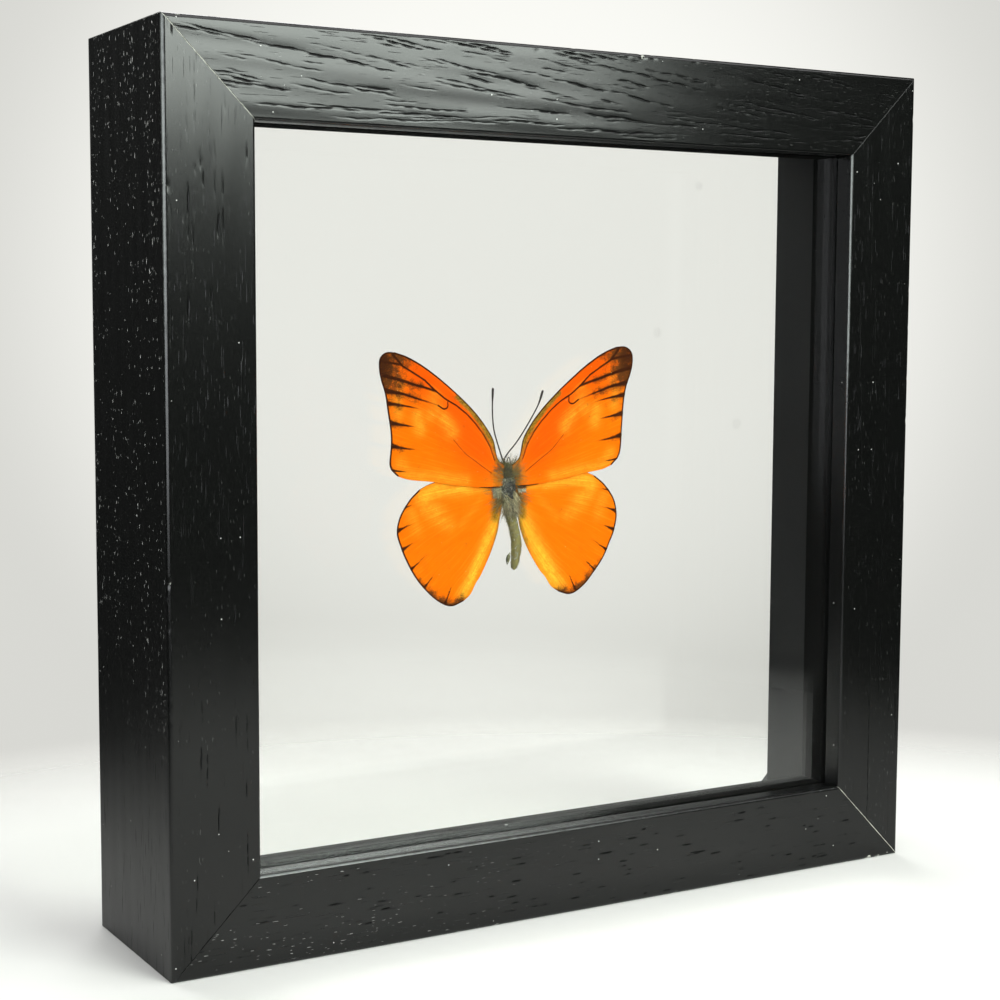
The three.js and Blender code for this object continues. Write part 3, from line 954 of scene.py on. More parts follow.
HINDWING = {
    "lead": [(1.4, -1.6), (5.0, -0.4), (10.0, 0.6), (15.0, 0.9), (19.4, 0.4), (22.6, -0.9)],
    "outer": [(22.6, -0.9), (25.2, -3.0), (27.5, -6.2), (28.3, -9.9), (27.6, -13.0),
              (26.6, -15.6), (24.4, -19.7), (21.0, -23.8), (17.6, -26.4), (15.2, -27.1),
              (12.6, -26.3)],
    "trail": [(2.0, -7.0), (2.6, -9.0), (3.2, -11.8), (4.9, -16.0), (7.6, -20.6), (9.2, -22.6),
              (10.6, -24.8), (12.6, -26.3)],
    "base": [(1.4, -1.6), (2.0, -7.0)],
    "veins": [
        (0.1, 0.4, 0.3, [(23.9, -3.8), (26.4, -4.4)]),
        (0.12, 0.62, 0.2, [(23.4, -7.6), (28.0, -9.2)]),
        (0.12, 0.62, 0.2, [(22.6, -11.4), (27.3, -13.4)]),
        (0.12, 0.55, 0.3, [(21.2, -15.0), (25.4, -17.9)]),
        (0.14, 0.45, 0.3, [(18.8, -18.9), (22.4, -22.4)]),
        (0.14, 0.45, 0.3, [(14.9, -21.8), (17.0, -26.3)]),
    ],
    "faint": [
        (0.14, 0.14, [(4.0, -4.2), (12.0, -5.4), (23.4, -7.6)]),
        (0.14, 0.14, [(4.0, -5.0), (12.0, -8.4), (21.2, -15.0)]),
        (0.14, 0.12, [(4.2, -6.4), (9.5, -14.0), (14.9, -21.8)]),
    ],
    "patches": [
        ("yellow", 1.0, 1.9, [(10.0, -0.9), (14.0, -0.9), (18.5, -1.3), (21.5, -2.6)]),
        ("yellow", 0.65, 1.4, [(5.0, -1.6), (9.0, -1.2)]),
        ("yellow", 0.6, 2.3, [(20.5, -4.5), (18.5, -6.0)]),
        ("yellow", 0.45, 1.7, [(15.5, -9.0), (17.5, -8.0)]),
        ("yellow", 0.3, 1.6, [(24.5, -6.0), (23.5, -9.5)]),
        ("yellow", 0.15, 1.0, [(7.5, -4.4), (12.5, -9.5)]),
        ("olive", 0.75, 1.7, [(2.6, -3.4), (3.2, -6.0), (3.6, -8.2)]),
    ],
    "margin": 0.3, "edge": (0.05, 0.05), "smoke": (0.3, 1.7, -15.0, -25.0),
}
# The inner stripe along the body side of a hindwing: its middle line, and its half-width and
# the width of its greenish edge for each hand.
INNER_STRIPE = [(3.4, -8.6), (5.4, -12.6), (8.0, -17.4), (10.6, -22.0), (12.6, -25.0)]
STRIPE = {"left": (1.3, 0.6), "right": (1.9, 1.1)}
# Turn (radians) and stretch of each wing about its root, its shift across, how far its lower
# outer corner is drawn out, and the start of its random bends.
SETTING = {
    "forewing_left": (0.0, 1.0, 0.0, 1.2, 3), "forewing_right": (0.022, 1.012, 0.0, 0.0, 4),
    "hindwing_left": (-0.035, 1.0, 0.3, 0.0, 13), "hindwing_right": (0.03, 1.015, 0.0, 0.0, 14),
}
WING_GRID = {"forewing": (170, 140), "hindwing": (140, 140)}


def wing_sheet(shape, rows, columns):
    """Coons patch in the wing's plane: lines from the front edge to the inner edge and from the
    base to the outer margin are added, less the straight blend of the four corners."""
    lead, trail = smooth_line(shape["lead"], rows), smooth_line(shape["trail"], rows)
    base, outer = smooth_line(shape["base"], columns), smooth_line(shape["outer"], columns)
    u = np.linspace(0, 1, rows)[:, None, None]
    v = np.linspace(0, 1, columns)[None, :, None]
    across = (1 - v) * lead[:, None] + v * trail[:, None]
    along = (1 - u) * base[None] + u * outer[None]
    corners = (1 - u) * ((1 - v) * lead[0] + v * trail[0]) + u * (
        (1 - v) * lead[-1] + v * trail[-1])
    return (across + along - corners).reshape(-1, 2)


def wing_masks(shape, flat, hand, hind):
    """Colour zones and vein relief of a wing. Each mark fades from its line as a bell curve of
    the distance. A vein widens to the margin; smoke is a brown suffusion along the outer margin
    whose width grows from one height to another; a hindwing also has its pale inner stripe."""
    zones = {key: np.zeros(len(flat)) for key in ("red", "yellow", "olive", "speck", "dark")}
    ridge = np.zeros(len(flat))
    for inner, outer, strength, points in shape["veins"]:
        gap, share = to_line(flat, smooth_line(points, 12))
        width = inner + (outer - inner) * share ** 5
        power = strength + (1 - strength) * ease(share, 0, 0.6)
        zones["dark"] = np.maximum(zones["dark"], power * np.exp(-(gap / width) ** 2))
        ridge = np.maximum(ridge, np.exp(-(gap / 0.22) ** 2))
    for width, strength, points in shape["faint"]:
        gap, _ = to_line(flat, smooth_line(points, 12))
        zones["dark"] = np.maximum(zones["dark"], strength * np.exp(-(gap / width) ** 2))
        ridge = np.maximum(ridge, 0.6 * np.exp(-(gap / 0.22) ** 2))
    for zone, strength, radius, points in shape["patches"]:
        gap, _ = to_line(flat, smooth_line(points, 12))
        zones[zone] = np.maximum(zones[zone], strength * np.exp(-(gap / radius) ** 2))
    outer_gap, _ = to_line(flat, smooth_line(shape["outer"], 60))
    lead_gap, lead_share = to_line(flat, smooth_line(shape["lead"], 40))
    zones["dark"] = np.maximum(zones["dark"], 1.3 * np.exp(-(outer_gap / shape["margin"]) ** 2))
    thin, thick = shape["edge"]
    width = thin + (thick - thin) * lead_share
    zones["dark"] = np.maximum(zones["dark"], 1.3 * np.exp(-(lead_gap / width) ** 2))
    narrow, wide, start, end = shape["smoke"]
    reach = narrow + (wide - narrow) * ease((flat[:, 1] - start) / (end - start), 0, 1)
    smoke = np.exp(-(outer_gap / reach) ** 2) * ease(reach, narrow, wide) * 0.85
    zones["speck"] = np.maximum(zones["speck"], smoke)
    if hind:
        half, edge = STRIPE[hand]
        stripe_gap, share = to_line(flat, smooth_line(INNER_STRIPE, 20))
        zones["yellow"] = np.maximum(zones["yellow"], 1.1 * np.exp(-(stripe_gap / half) ** 2))
        trail_gap, trail_share = to_line(flat, smooth_line(shape["trail"], 30))
        green = np.exp(-(trail_gap / edge) ** 2) * (1 - ease(trail_share, 0.2, 0.75))
        zones["olive"] = np.maximum(zones["olive"], 0.8 * green)
    return zones, ridge


def make_wing(kind, hand, material):
    """A thin closed wing: the sheet is bent by a lift from the root, a gentle wave, grooves
    between the veins and a curl at the margin, then given two faces and an edge."""
    part = settings("wings")
    shape = FOREWING if kind == "forewing" else HINDWING
    rows, columns = WING_GRID[kind]
    flat = wing_sheet(shape, rows, columns)
    masks, ridge = wing_masks(shape, flat, hand, kind == "hindwing")
    turn, stretch, shift, corner, seed = SETTING[f"{kind}_{hand}"]
    side = -1 if hand == "left" else 1
    drawn = corner * ease(flat[:, 0], 17, 28) * np.exp(-((flat[:, 1] - 2.5) / 4.5) ** 2)
    rng = np.random.default_rng(seed)
    x = flat[:, 0] * math.cos(turn) - flat[:, 1] * math.sin(turn) + drawn
    z = flat[:, 0] * math.sin(turn) + flat[:, 1] * math.cos(turn)
    outer_gap, _ = to_line(flat, smooth_line(shape["outer"], 60))
    bend = -0.02 * flat[:, 0] + 0.16 * ripple(rng, flat, 16.0) + 0.05 * ripple(rng, flat, 5.0)
    bend += 0.25 * np.exp(-(outer_gap / 2.5) ** 2) * ripple(rng, flat, 11.0)
    angle = np.arctan2(flat[:, 1] + 2, flat[:, 0] + 3)
    bend += 0.05 * np.sin(angle * 26) * ease(flat[:, 0], 4, 14)
    middle = (FOREWING_Y if kind == "forewing" else HINDWING_Y) + bend
    half = 0.5 * part.thickness / MM
    rise = ridge * part.vein_height / MM
    sheets = []
    for way in (-1, 1):
        depth = middle + way * (half + rise * (1.0 if way < 0 else 0.7))
        sheets.append(np.stack([ROOT_X + shift + side * x * stretch, depth,
                                ROOT_Z + z * stretch], axis=1))
    count = rows * columns
    index = np.arange(count).reshape(rows, columns)
    rim = np.concatenate([index[0], index[1:, -1], index[-1, -2::-1], index[-2:0:-1, 0]])
    ahead = np.roll(rim, -1)
    edge = np.stack([rim, ahead, ahead + count, rim + count], axis=1)
    faces = [grid_faces(rows, columns), grid_faces(rows, columns, first=count)[:, ::-1], edge]
    values = {key: np.tile(value, 2) for key, value in masks.items()}
    values["under"] = np.repeat([0.0, 1.0], count)
    u, v = np.meshgrid(np.linspace(0, 1, rows), np.linspace(0, 1, columns), indexing="ij")
    uv = np.tile(np.stack([u.ravel(), v.ravel()], axis=1), (2, 1))
    build_piece(f"{kind}_scaled_{hand}", np.vstack(sheets), faces, material,
                [f"{kind}_{hand}"], values, uv)


# ---------------------------------------------------------------- body shapes

# Middle line of head, thorax and abdomen from the wing roots: x, depth behind the body's middle
# plane, height, half-width and half-depth.
BODY_LINE = [
    (-0.5, -0.3, 3.5, 0.1, 0.1), (-0.5, -0.3, 3.35, 0.4, 0.5), (-0.5, -0.25, 2.7, 0.75, 0.9),
    (-0.4, -0.1, 1.8, 0.95, 1.15), (-0.2, 0.0, 1.0, 1.4, 1.5), (0.0, 0.0, -0.2, 1.85, 1.9),
    (0.0, 0.0, -1.7, 1.95, 2.0), (0.1, 0.0, -3.5, 1.75, 1.8), (0.4, 0.1, -5.5, 1.25, 1.4),
    (0.9, 0.1, -7.4, 1.1, 1.2), (1.5, 0.05, -9.3, 1.15, 1.2), (2.1, -0.1, -11.5, 1.0, 1.15),
    (2.55, -0.2, -14.5, 1.1, 1.2), (2.4, -0.2, -17.5, 0.95, 1.05), (2.1, -0.2, -19.6, 0.68, 0.75),
    (2.0, -0.2, -20.4, 0.4, 0.45), (2.0, -0.2, -20.65, 0.1, 0.1),
]
OLIVE = np.array([0.14, 0.135, 0.045])
STRAW = np.array([0.24, 0.21, 0.06])
GOLD = np.array([0.35, 0.26, 0.06])
PALE = np.array([0.7, 0.63, 0.38])
SILVER = np.array([0.48, 0.48, 0.39])
SOOT = np.array([0.03, 0.032, 0.026])
# Tufts on the hindwing roots: number of hairs, from and to across, height, length and tint. The
# two pale tufts stand for the bright backdrop seen through the gaps beside the hindwing roots:
# painted light. The short black tuft is painted shadow in the gap under the forewing's inner edge.
TUFTS = [
    (240, -4.1, -1.7, -2.0, 2.3, (0.6, 0.56, 0.36)), (150, 2.6, 4.6, -2.4, 0.8, (0.78, 0.76, 0.6)),
    (90, 2.4, 4.7, -1.8, 0.35, (0.03, 0.03, 0.02)),
]
# Fans of hair spreading from the body over the wing roots, on either side: number of hairs,
# height they spread from, angle above the horizontal and its spread, nearest and farthest root,
# length and tint.
FANS = [
    (800, 0.1, 0.5, 0.55, 1.2, 3.2, 1.3, (0.25, 0.2, 0.05)),
    (420, 0.1, 0.4, 0.6, 1.2, 3.9, 1.5, (0.16, 0.14, 0.045)),
    (120, -1.8, -0.65, 0.45, 1.6, 5.2, 1.8, (0.3, 0.2, 0.035)),
    (150, -2.2, -1.0, 0.3, 1.6, 4.6, 1.8, (0.34, 0.28, 0.09)),
    (45, -2.0, -0.75, 0.4, 2.2, 5.4, 2.6, (0.14, 0.11, 0.03)),
]


def make_body(material):
    """Head, thorax and abdomen as one tube with oval rings, and a small flap beside the tip of
    the abdomen, whose radius swells and pinches as the size of a sine of the height."""
    line = smooth_line(BODY_LINE, 170)
    height = line[:, 2]
    segments = (1 - ease(height, -9, -7)) * 0.045 * np.abs(np.sin((height + 20.6) * math.pi / 1.55))
    path = line[:, :3] + BODY_CENTRE
    points, faces, uv = tube(path, line[:, 3] * (1 + segments), line[:, 4] * (1 + segments), 48)
    local = points - BODY_CENTRE
    rng = np.random.default_rng(21)
    bare = np.exp(-(((local[:, 0]) / 1.9) ** 2 + ((local[:, 2] + 2.2) / 2.6) ** 2) ** 2)
    back = ease(-local[:, 2], 6, 9)
    edge = ease(local[:, 0] - np.interp(-local[:, 2], -height, line[:, 0]), 0.35, 0.95)
    tint = OLIVE * 1.2 + (STRAW - OLIVE * 1.2) * (back * (1 - 0.85 * edge))[:, None]
    tint = tint * (1 - bare)[:, None] + SOOT * bare[:, None]
    points += 0.05 * ripple(rng, local[:, [0, 2]], 0.9)[:, None] * [0, 1, 0]
    flap = smooth_line([(0.9, -0.3, -16.6), (0.35, -0.4, -17.8), (0.15, -0.3, -19.4)], 24)
    wide = np.sin(np.linspace(0.1, math.pi - 0.1, 24))
    flap_tube = tube(flap + BODY_CENTRE, 0.5 * wide, 0.2 * wide, 48)
    flap_tint = OLIVE * (0.35 + 0.9 * ease(flap_tube[0][:, :1] - ROOT_X, 0.0, 0.6))
    points, faces, uv = joined([(points, faces, uv), flap_tube])
    build_piece("head_thorax_abdomen", points, faces, material, ["body"],
                {"tint": opaque(np.vstack([tint, flap_tint]))}, uv)


def hairs(rng, roots, ways, lengths, radius, droop, tints):
    """Closed hairs, all at once: a three-sided spike of three rings and a tip, which leaves its
    root along its way and bends by droop as the square of the distance."""
    count = len(roots)
    ways = ways / np.linalg.norm(ways, axis=1)[:, None]
    aside = np.cross(ways, rng.normal(size=(count, 3)))
    aside /= np.linalg.norm(aside, axis=1)[:, None]
    third = np.cross(ways, aside)
    share = np.array([0.0, 0.4, 0.75])
    thick = np.array([1.0, 0.85, 0.55]) * radius
    centre = (roots[:, None] + ways[:, None] * (share * lengths[:, None])[..., None]
              + droop[:, None] * ((share ** 2) * lengths[:, None])[..., None])
    angle = np.arange(3) * 2 * math.pi / 3
    circle = (np.cos(angle)[None, None, :, None] * aside[:, None, None]
              + np.sin(angle)[None, None, :, None] * third[:, None, None])
    rings = centre[:, :, None] + circle * thick[None, :, None, None]
    tips = roots + (ways + droop) * lengths[:, None]
    points = np.concatenate([rings.reshape(count, 9, 3), tips[:, None]], axis=1)
    sides = np.arange(3)
    ahead = (sides + 1) % 3
    quads = np.concatenate([np.stack([sides + r, ahead + r, ahead + r + 3, sides + r + 3], axis=1)
                            for r in (0, 3)])
    tris = np.concatenate([np.stack([sides + 6, ahead + 6, np.full(3, 9)], axis=1), [[2, 1, 0]]])
    first = (np.arange(count) * 10)[:, None, None]
    faces = [(quads[None] + first).reshape(-1, 4), (tris[None] + first).reshape(-1, 3)]
    return points.reshape(-1, 3), faces, np.repeat(opaque(tints), 10, axis=0)


def make_hair(material):
    """Hair of head, thorax, wing roots and abdomen. Roots are picked on the body's rings and on
    the wing roots; the way, length and tint follow the zone that a root lies in."""
    part = settings("body")
    rng = np.random.default_rng(part.hair_seed)
    line = smooth_line(BODY_LINE, 400)
    batches = []

    def on_body(count, low, high, front=True):
        """Random roots just inside the body between two heights, on its front or all round,
        with the outward way at each."""
        rows = np.flatnonzero((line[:, 2] > low) & (line[:, 2] < high))
        pick = line[rng.choice(rows, count)]
        angle = rng.uniform(math.pi if front else 0, 2 * math.pi, count)
        out = np.stack([np.cos(angle), np.sin(angle), np.zeros(count)], axis=1)
        widths = np.stack([pick[:, 3], pick[:, 4], np.zeros(count)], axis=1)
        return pick[:, :3] + out * widths * 0.96, out

    def batch(roots, ways, length, droop, tint, spread=0.35, thin=1.0):
        """Adds hairs with scattered lengths, ways and tints; thin scales their radius."""
        count = len(roots)
        ways = ways / np.linalg.norm(ways, axis=1)[:, None]
        ways = ways + rng.normal(0, spread, (count, 3))
        lengths = length * rng.uniform(0.55, 1.15, count)
        tints = tint * rng.uniform(0.35, 1.4, (count, 1)) * rng.uniform(0.92, 1.08, (count, 3))
        bends = np.asarray(droop) + rng.normal(0, 0.12, (count, 3))
        batches.append(hairs(rng, roots, ways, lengths, thin * part.hair_radius / MM, bends, tints))

    # Head and collar
    roots, out = on_body(1300, 0.2, 3.2)
    batch(roots, out * [0.6, 1, 1] + [0, 0, 0.8], 0.65, (0, 0, 0.15), OLIVE)
    roots, out = on_body(500, 0.3, 3.0)
    batch(roots, out + [0, 0, 0.2], 0.5, (0, 0, 0.2), GOLD)
    roots, out = on_body(260, 0.3, 2.4)
    batch(roots, out + [0, 0, 0.4], 0.7, (0, 0, 0.1), SOOT)
    # Thorax: short dark hair, and pale hair along its sides and below it
    roots, out = on_body(330, -4.4, 0.3)
    batch(roots, out * 0.5 + [0.1, 0, -0.6], 0.6, (0, 0, -0.2), SOOT, 0.6, 1.3)
    roots, out = on_body(150, -4.4, 0.3)
    batch(roots, out * 0.5 + [0, 0, -0.6], 0.55, (0, 0, -0.2), SILVER * 0.8, 0.6)
    roots, out = on_body(620, -5.6, 0.2, front=False)
    side = roots[:, 0] < -0.9
    batch(roots[side], out[side] + [0, 0, -0.7], 1.0, (0, 0, -0.3), SILVER)
    roots, out = on_body(420, -7.4, -4.4)
    batch(roots, out * [0.7, 0.5, 0] + [0.25, -0.1, -1.0], 2.0, (0.15, 0.1, -0.2), PALE * 0.6,
          0.22)
    roots, out = on_body(700, -6.4, -2.6)
    side = roots[:, 0] > 0.7
    batch(roots[side], out[side] * 0.6 + [0.1, -0.1, -1.0], 2.2, (0.0, 0.1, -0.2), PALE, 0.2)
    side = roots[:, 0] < -0.9
    batch(roots[side], out[side] * 0.4 + [0.7, -0.1, -1.0], 2.4, (0.2, 0.1, -0.2), PALE, 0.2)
    # Abdomen
    roots, out = on_body(1500, -20.0, -7.0, front=False)
    batch(roots, out * 0.5 + [0, 0, -1.1], 0.45, (0, 0, -0.1), STRAW, 0.2, 0.7)
    roots, out = on_body(450, -13.0, -7.0, front=False)
    side = roots[:, 0] < 2.0
    batch(roots[side], out[side] + [0, 0, -1.0], 0.7, (0, 0, -0.1), PALE * 0.7, 0.3, 0.7)
    for count, start, end, low, length, tint in TUFTS:
        roots = np.stack([rng.uniform(start, end, count), rng.uniform(-1.0, -0.7, count),
                          low + rng.uniform(-0.25, 0.1, count)], axis=1)
        way = np.stack([0.25 * (0.5 * (start + end) - roots[:, 0]), np.full(count, -0.05),
                        np.full(count, -1.0)], axis=1)
        batch(roots, way, length, (0, 0.05, 0), np.array(tint), 0.12, 0.8)

    for hand in (-1, 1):
        for count, middle, turn, spread, near, far, length, tint in FANS:
            way = rng.normal(turn, spread, count)
            away = near + (far - near) * rng.random(count) ** 1.6
            roots = np.stack([hand * away * np.cos(way) + 0.05, rng.uniform(-1.2, -0.6, count),
                              middle + 1.3 * away * np.sin(way)], axis=1)
            fan = np.stack([hand * np.cos(way), rng.uniform(-0.15, 0.05, count),
                            np.sin(way)], axis=1)
            batch(roots, fan, length, (hand * 0.05, 0.1, 0), np.array(tint), 0.14, 0.5)

    points, faces, tints = joined(batches)
    build_piece("body_hair", points + BODY_CENTRE, faces, material,
                values={"tint": tints}, recalculate=False)


# Middle line of each antenna from the wing roots, across and up
ANTENNAE = {
    "left": [(-0.8, 2.9), (-1.3, 4.0), (-2.2, 5.8), (-3.4, 8.5), (-4.25, 11.6), (-4.55, 15.5),
             (-4.45, 20.3)],
    "right": [(-0.6, 3.0), (-1.0, 4.2), (-0.2, 5.7), (1.7, 8.1), (3.3, 10.2), (5.5, 13.4),
              (7.3, 16.4), (8.5, 19.6)],
}


def make_antenna(hand, material):
    """A thin jointed rod whose last sixth swells into a long club and tapers off."""
    flat = smooth_line(ANTENNAE[hand], 90)
    share = np.linspace(0, 1, len(flat))
    depth = ANTENNA_Y + 0.9 * (1 - ease(share, 0, 0.35))
    path = np.stack([flat[:, 0] + ROOT_X, depth, flat[:, 1] + ROOT_Z], axis=1)
    rings = 1 + 0.08 * np.sin(share * 2 * math.pi * 32)
    club = ease(share, 0.8, 0.94) * (1 - ease(share, 0.965, 1.01))
    radius = (0.15 + 0.11 * club) * rings
    points, faces, uv = tube(path, radius, radius, 12)
    build_piece(f"clubbed_antenna_{hand}", points, faces, material,
                [f"antenna_{hand}"], None, uv)


def make_head_details(material):
    """Two domed eyes at the sides of the head, and the crooked palps in front of it."""
    parts = []
    for hand in (-1, 1):
        share = np.linspace(0, math.pi, 16)
        centre = np.array([-0.5 + hand * 0.75, -0.5, 2.5])
        path = centre + np.stack([np.zeros(16), np.zeros(16), -0.5 * np.cos(share)], axis=1)
        swell = np.sin(share)
        parts.append(tube(path, 0.36 * swell, 0.5 * swell, 18))
    palps = smooth_line([(-0.75, -1.2, 3.7), (-0.3, -1.5, 4.75), (-0.15, -1.5, 4.7),
                         (0.45, -1.3, 3.2)], 26)
    thin = 0.09 * np.sin(np.linspace(0.35, math.pi - 0.35, 26))
    parts.append(tube(palps, thin, thin, 8))
    points, faces, uv = joined(parts)
    build_piece("eyes_and_palps", points + BODY_CENTRE, faces, material, uv=uv)


def make_glue(material):
    """A flat drop between thorax and back pane: its radius shrinks smoothly from the wetted ring
    on the pane to its end inside the thorax, and a sum of two sines makes it uneven."""
    share = np.linspace(0, 1, 22)
    radius = 3.3 - 1.3 * ease(share, 0, 0.7)
    depth = BACK_PANE_Y - 0.03 - 1.9 * share
    depth[1] = depth[0]
    path = np.stack([np.full(22, ROOT_X), depth, np.full(22, ROOT_Z - 1.6)], axis=1)
    angle = np.linspace(0, 2 * math.pi, 40, endpoint=False)
    wobble = 1 + 0.06 * np.sin(angle * 3 + 1) + 0.04 * np.sin(angle * 5)
    ring = path[1:-1, None] + (radius[1:-1, None, None] * wobble[None, :, None]) * np.stack(
        [np.cos(angle), np.zeros(40), np.sin(angle)], axis=-1)[None]
    points, faces = capped(ring, path[0], path[-1])
    build_piece("set_glue", points, faces, material, ["glue_drop"])


# ---------------------------------------------------------------- stage

CAMERA_PLACE = (-0.21456, -0.35394, 0.12555)
# The bright part of the floor: its middle, and the radii between which it fades away, seen
# directly and in reflections, in metres
FLOOR_MIDDLE = (-0.03, -0.09, 0.0)
FLOOR_EDGE = (0.19, 0.285)
MIRRORED_EDGE = (0.08, 0.33)
# Soft spots on the surroundings: their direction, and the angles at which they end and are full
PALE_SIDE = ((0.254, 0.947, 0.198), 0.47, 0.2)
BACKDROP_GLOW = ((0.506, 0.862, 0.02), 0.29, 0.1)


def make_floor():
    """A round floor that rises smoothly far out: height grows with the square of the distance
    past the flat middle. It fades away past a soft edge, sooner in reflections, except for
    light scattered by matt surfaces, which sees all of it."""
    radius = np.concatenate([[0.001], np.linspace(0.05, 1.0, 20), np.linspace(1.1, 3.4, 34)])
    height = np.where(radius > 0.9, 0.34 * (radius - 0.9) ** 2, 0)
    angle = np.linspace(0, 2 * math.pi, 96, endpoint=False)
    ring = np.stack([radius[:, None] * np.cos(angle), radius[:, None] * np.sin(angle),
                     np.broadcast_to(height[:, None], (len(radius), 96))], axis=-1)
    mesh = bpy.data.meshes.new("floor")
    faces = grid_faces(len(radius), 96, closed=True)
    middle = np.arange(96)[None, ::-1]
    mesh.from_pydata(ring.reshape(-1, 3).tolist(), [], faces.tolist() + middle.tolist())
    mesh.polygons.foreach_set("use_smooth", np.ones(len(mesh.polygons), bool))
    floor = bpy.data.objects.new("floor", mesh)
    bpy.context.scene.collection.objects.link(floor)
    material, tree, shader = new_material("pale_floor")
    place = put(tree, "TexCoord").outputs["Object"]
    grain = noise(tree, place, 30.0, 3.0)
    colour = np.array(settings("stage").floor)
    tone = mixed(tree, grain, rgba(colour), rgba(colour * 0.99))
    set_shader(tree, shader, Base_Color=tone, Roughness=0.9, Specular_IOR_Level=0.1)
    distance = put(tree, "VectorMath", {"operation": "DISTANCE"}, _0=place,
                   _1=FLOOR_MIDDLE).outputs["Value"]
    path = put(tree, "LightPath")
    mirrored = sums(tree, "GREATER_THAN", path.outputs["Glossy Depth"], 0.5)
    faded = sums(tree, "MAXIMUM", band(tree, distance, *FLOOR_EDGE),
                 times(tree, mirrored, band(tree, distance, *MIRRORED_EDGE)))
    gone = times(tree, faded, minus(tree, 1.0, path.outputs["Is Diffuse Ray"]))
    see_through(tree, shader, gone)
    mesh.materials.append(material)


def make_world():
    """A dim room with one pale side for reflections, and a pale backdrop with a soft glow for
    what is seen directly or through the panes."""
    world = bpy.data.worlds.new("studio")
    bpy.context.scene.world = world
    world.use_nodes = True
    tree = world.node_tree
    tree.nodes.clear()
    place = put(tree, "TexCoord").outputs["Generated"]

    def around(direction, wide, narrow):
        """A soft spot about a direction: 0 outside the wide angle, 1 inside the narrow one."""
        close = put(tree, "VectorMath", {"operation": "DOT_PRODUCT"}, _0=place,
                    _1=direction).outputs["Value"]
        return band(tree, close, math.cos(wide), math.cos(narrow))

    room = mixed(tree, around(*PALE_SIDE), (0.012, 0.013, 0.0125, 1), (0.6, 0.62, 0.6, 1))
    backdrop = mixed(tree, around(*BACKDROP_GLOW), (0.69, 0.69, 0.655, 1),
                     (0.97, 0.97, 0.925, 1))
    path = put(tree, "LightPath")
    bounced = plus(tree, path.outputs["Glossy Depth"], path.outputs["Diffuse Depth"])
    tone = mixed(tree, sums(tree, "LESS_THAN", bounced, 0.5), room, backdrop)
    out = tree.nodes.new("ShaderNodeOutputWorld")
    tree.links.new(put(tree, "Background", Color=tone).outputs[0], out.inputs["Surface"])


def make_softbox(name, place, target, size, power, tint=(1, 1, 1)):
    """A rectangular area lamp at a place, turned to a target, both in metres."""
    lamp = bpy.data.lights.new(name, "AREA")
    lamp.shape, lamp.size, lamp.size_y = "RECTANGLE", size[0], size[1]
    lamp.energy, lamp.color = power, tint
    box = bpy.data.objects.new(name, lamp)
    box.visible_camera = False
    box.visible_transmission = False
    bpy.context.scene.collection.objects.link(box)
    away = np.array(place) - np.array(target)
    away /= np.linalg.norm(away)
    right = np.cross([0, 0, 1], away)
    right /= np.linalg.norm(right)
    up = np.cross(away, right)
    turned = Matrix(np.stack([right, up, away], axis=1).tolist()).to_4x4()
    turned.translation = place
    box.matrix_world = turned


def make_camera():
    """The camera: its view direction is (sin a cos e, cos a cos e, sin e)."""
    stage = settings("stage")
    a, e, roll = stage.azimuth, stage.elevation, stage.roll
    ahead = np.array([math.sin(a) * math.cos(e), math.cos(a) * math.cos(e), math.sin(e)])
    right = np.cross(ahead, [0, 0, 1])
    right /= np.linalg.norm(right)
    up = np.cross(right, ahead)
    rolled_right = right * math.cos(roll) + up * math.sin(roll)
    rolled_up = up * math.cos(roll) - right * math.sin(roll)
    data = bpy.data.cameras.new("camera")
    data.sensor_width, data.lens = 36.0, stage.lens
    data.clip_start, data.clip_end = 0.01, 50.0
    camera = bpy.data.objects.new("camera", data)
    bpy.context.scene.collection.objects.link(camera)
    turned = Matrix(np.stack([rolled_right, rolled_up, -ahead], axis=1).tolist()).to_4x4()
    turned.translation = CAMERA_PLACE
    camera.matrix_world = turned
    bpy.context.scene.camera = camera


# ---------------------------------------------------------------- operators

class SPECIMEN_OT_stage(bpy.types.Operator):
    """Makes the camera, floor, studio and lights"""

    bl_idname = "specimen.stage"
    bl_label = "Stage"

    def execute(self, context):
        stage = settings("stage")
        make_camera()
        make_floor()
        make_world()
        make_softbox("overhead_softbox", (0.3, -0.5, 1.0), (0.1, -0.1, 0), (1.1, 0.9),
                     stage.overhead)
        make_softbox("front_softbox", (0.27, -0.81, 0.405), (-0.07, 0, 0.17), (0.46, 0.3),
                     stage.front, (0.92, 1.0, 0.93))
        make_softbox("left_softbox", (-0.76, -0.55, 0.17), (-0.05, 0, 0.14), (1.1, 0.32),
                     stage.side, (0.94, 0.97, 1.0))
        make_softbox("rear_softbox", (0.0, 0.7, 0.85), (0.0, 0.1, 0.0), (0.9, 0.5),
                     stage.rear)
        context.scene.view_settings.view_transform = "Standard"
        return {"FINISHED"}


class SPECIMEN_OT_bars(bpy.types.Operator):
    """Makes the four painted bars"""

    bl_idname = "specimen.bars"
    bl_label = "Bars"

    def execute(self, context):
        material = paint_material()
        for side in SIDES:
            make_rail(side, material)
        return {"FINISHED"}


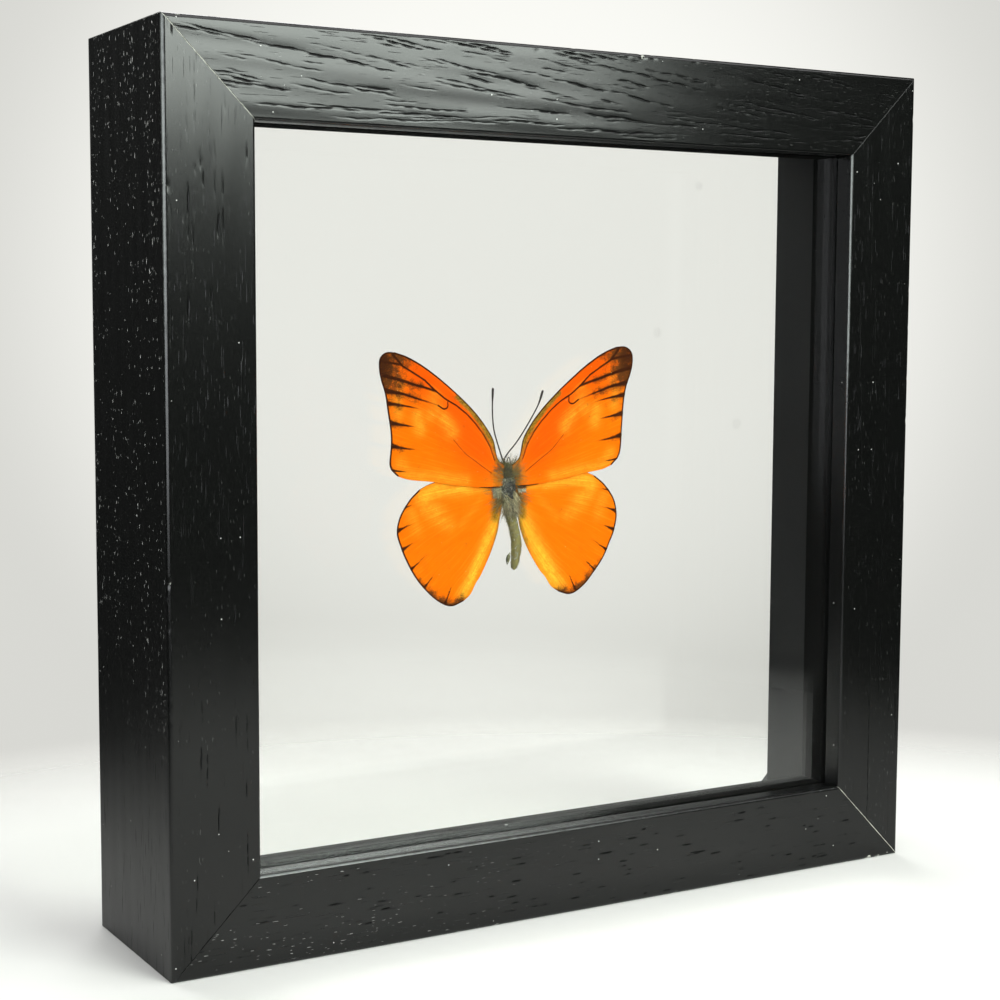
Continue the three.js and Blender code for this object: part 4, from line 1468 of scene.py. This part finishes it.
class SPECIMEN_OT_strips(bpy.types.Operator):
    """Makes the inner strips and finishes the corner blocks"""

    bl_idname = "specimen.strips"
    bl_label = "Inner strips"

    def execute(self, context):
        spacer = strip_material("dull_black_spacer", 0.02, 0.5)
        liner = strip_material("smooth_black_liner", 0.38, 0.44)
        inset = WALL + SEAT
        for side in SIDES:
            make_strip("spacer", side, inset, SPACER_DEPTHS, FACE_WIDTH - inset, spacer)
            make_strip("liner", side, inset, LINER_DEPTHS, LINER_INSET - inset,
                       spacer if side == "bottom" else liner)
        for corner in ("bottom_left", "top_left", "top_right", "bottom_right"):
            finish_node(f"corner_block_{corner}", liner)
        return {"FINISHED"}


class SPECIMEN_OT_panes(bpy.types.Operator):
    """Gives the two panes their glass"""

    bl_idname = "specimen.panes"
    bl_label = "Panes"

    def execute(self, context):
        material = glass_material()
        for node in ("front_glass", "back_glass"):
            finish_node(node, material)
        return {"FINISHED"}


class SPECIMEN_OT_wings(bpy.types.Operator):
    """Makes the four wings"""

    bl_idname = "specimen.wings"
    bl_label = "Wings"

    def execute(self, context):
        material = wing_material()
        for kind in ("forewing", "hindwing"):
            for hand in ("left", "right"):
                make_wing(kind, hand, material)
        return {"FINISHED"}


class SPECIMEN_OT_body(bpy.types.Operator):
    """Makes head, thorax and abdomen with their hair"""

    bl_idname = "specimen.body"
    bl_label = "Body"

    def execute(self, context):
        make_body(skin_material())
        make_hair(hair_material())
        return {"FINISHED"}


class SPECIMEN_OT_antennae(bpy.types.Operator):
    """Makes the eyes, the palps and the antennae"""

    bl_idname = "specimen.antennae"
    bl_label = "Antennae"

    def execute(self, context):
        material = horn_material()
        make_head_details(material)
        for hand in ("left", "right"):
            make_antenna(hand, material)
        return {"FINISHED"}


class SPECIMEN_OT_glue(bpy.types.Operator):
    """Makes the glue drop"""

    bl_idname = "specimen.glue"
    bl_label = "Glue"

    def execute(self, context):
        make_glue(glue_material())
        return {"FINISHED"}


OPERATORS = (SPECIMEN_OT_stage, SPECIMEN_OT_bars, SPECIMEN_OT_strips, SPECIMEN_OT_panes,
             SPECIMEN_OT_wings, SPECIMEN_OT_body, SPECIMEN_OT_antennae, SPECIMEN_OT_glue)
GROUPS = {"frame": SpecimenFrameSettings, "wings": SpecimenWingSettings,
          "body": SpecimenBodySettings, "stage": SpecimenStageSettings}


class SPECIMEN_PT_panel(bpy.types.Panel):
    """Lists the settings and the pieces in the sidebar"""

    bl_label = "Specimen"
    bl_space_type = "VIEW_3D"
    bl_region_type = "UI"
    bl_category = "Specimen"

    def draw(self, context):
        for operator in OPERATORS:
            self.layout.operator(operator.bl_idname)
        for key, group in GROUPS.items():
            box = self.layout.box()
            for name in group.__annotations__:
                box.prop(settings(key), name)


def register():
    """Registers the settings, operators and panel."""
    for key, group in GROUPS.items():
        bpy.utils.register_class(group)
        setattr(bpy.types.Scene, f"specimen_{key}", bpy.props.PointerProperty(type=group))
    for cls in (*OPERATORS, SPECIMEN_PT_panel):
        bpy.utils.register_class(cls)


def unregister():
    """Removes the settings, operators and panel."""
    for cls in (SPECIMEN_PT_panel, *reversed(OPERATORS)):
        bpy.utils.unregister_class(cls)
    for key, group in GROUPS.items():
        delattr(bpy.types.Scene, f"specimen_{key}")
        bpy.utils.unregister_class(group)


def main():
    register()
    for operator in OPERATORS:
        getattr(bpy.ops.specimen, operator.bl_idname.split(".")[1])()


if __name__ == "__main__":
    main()
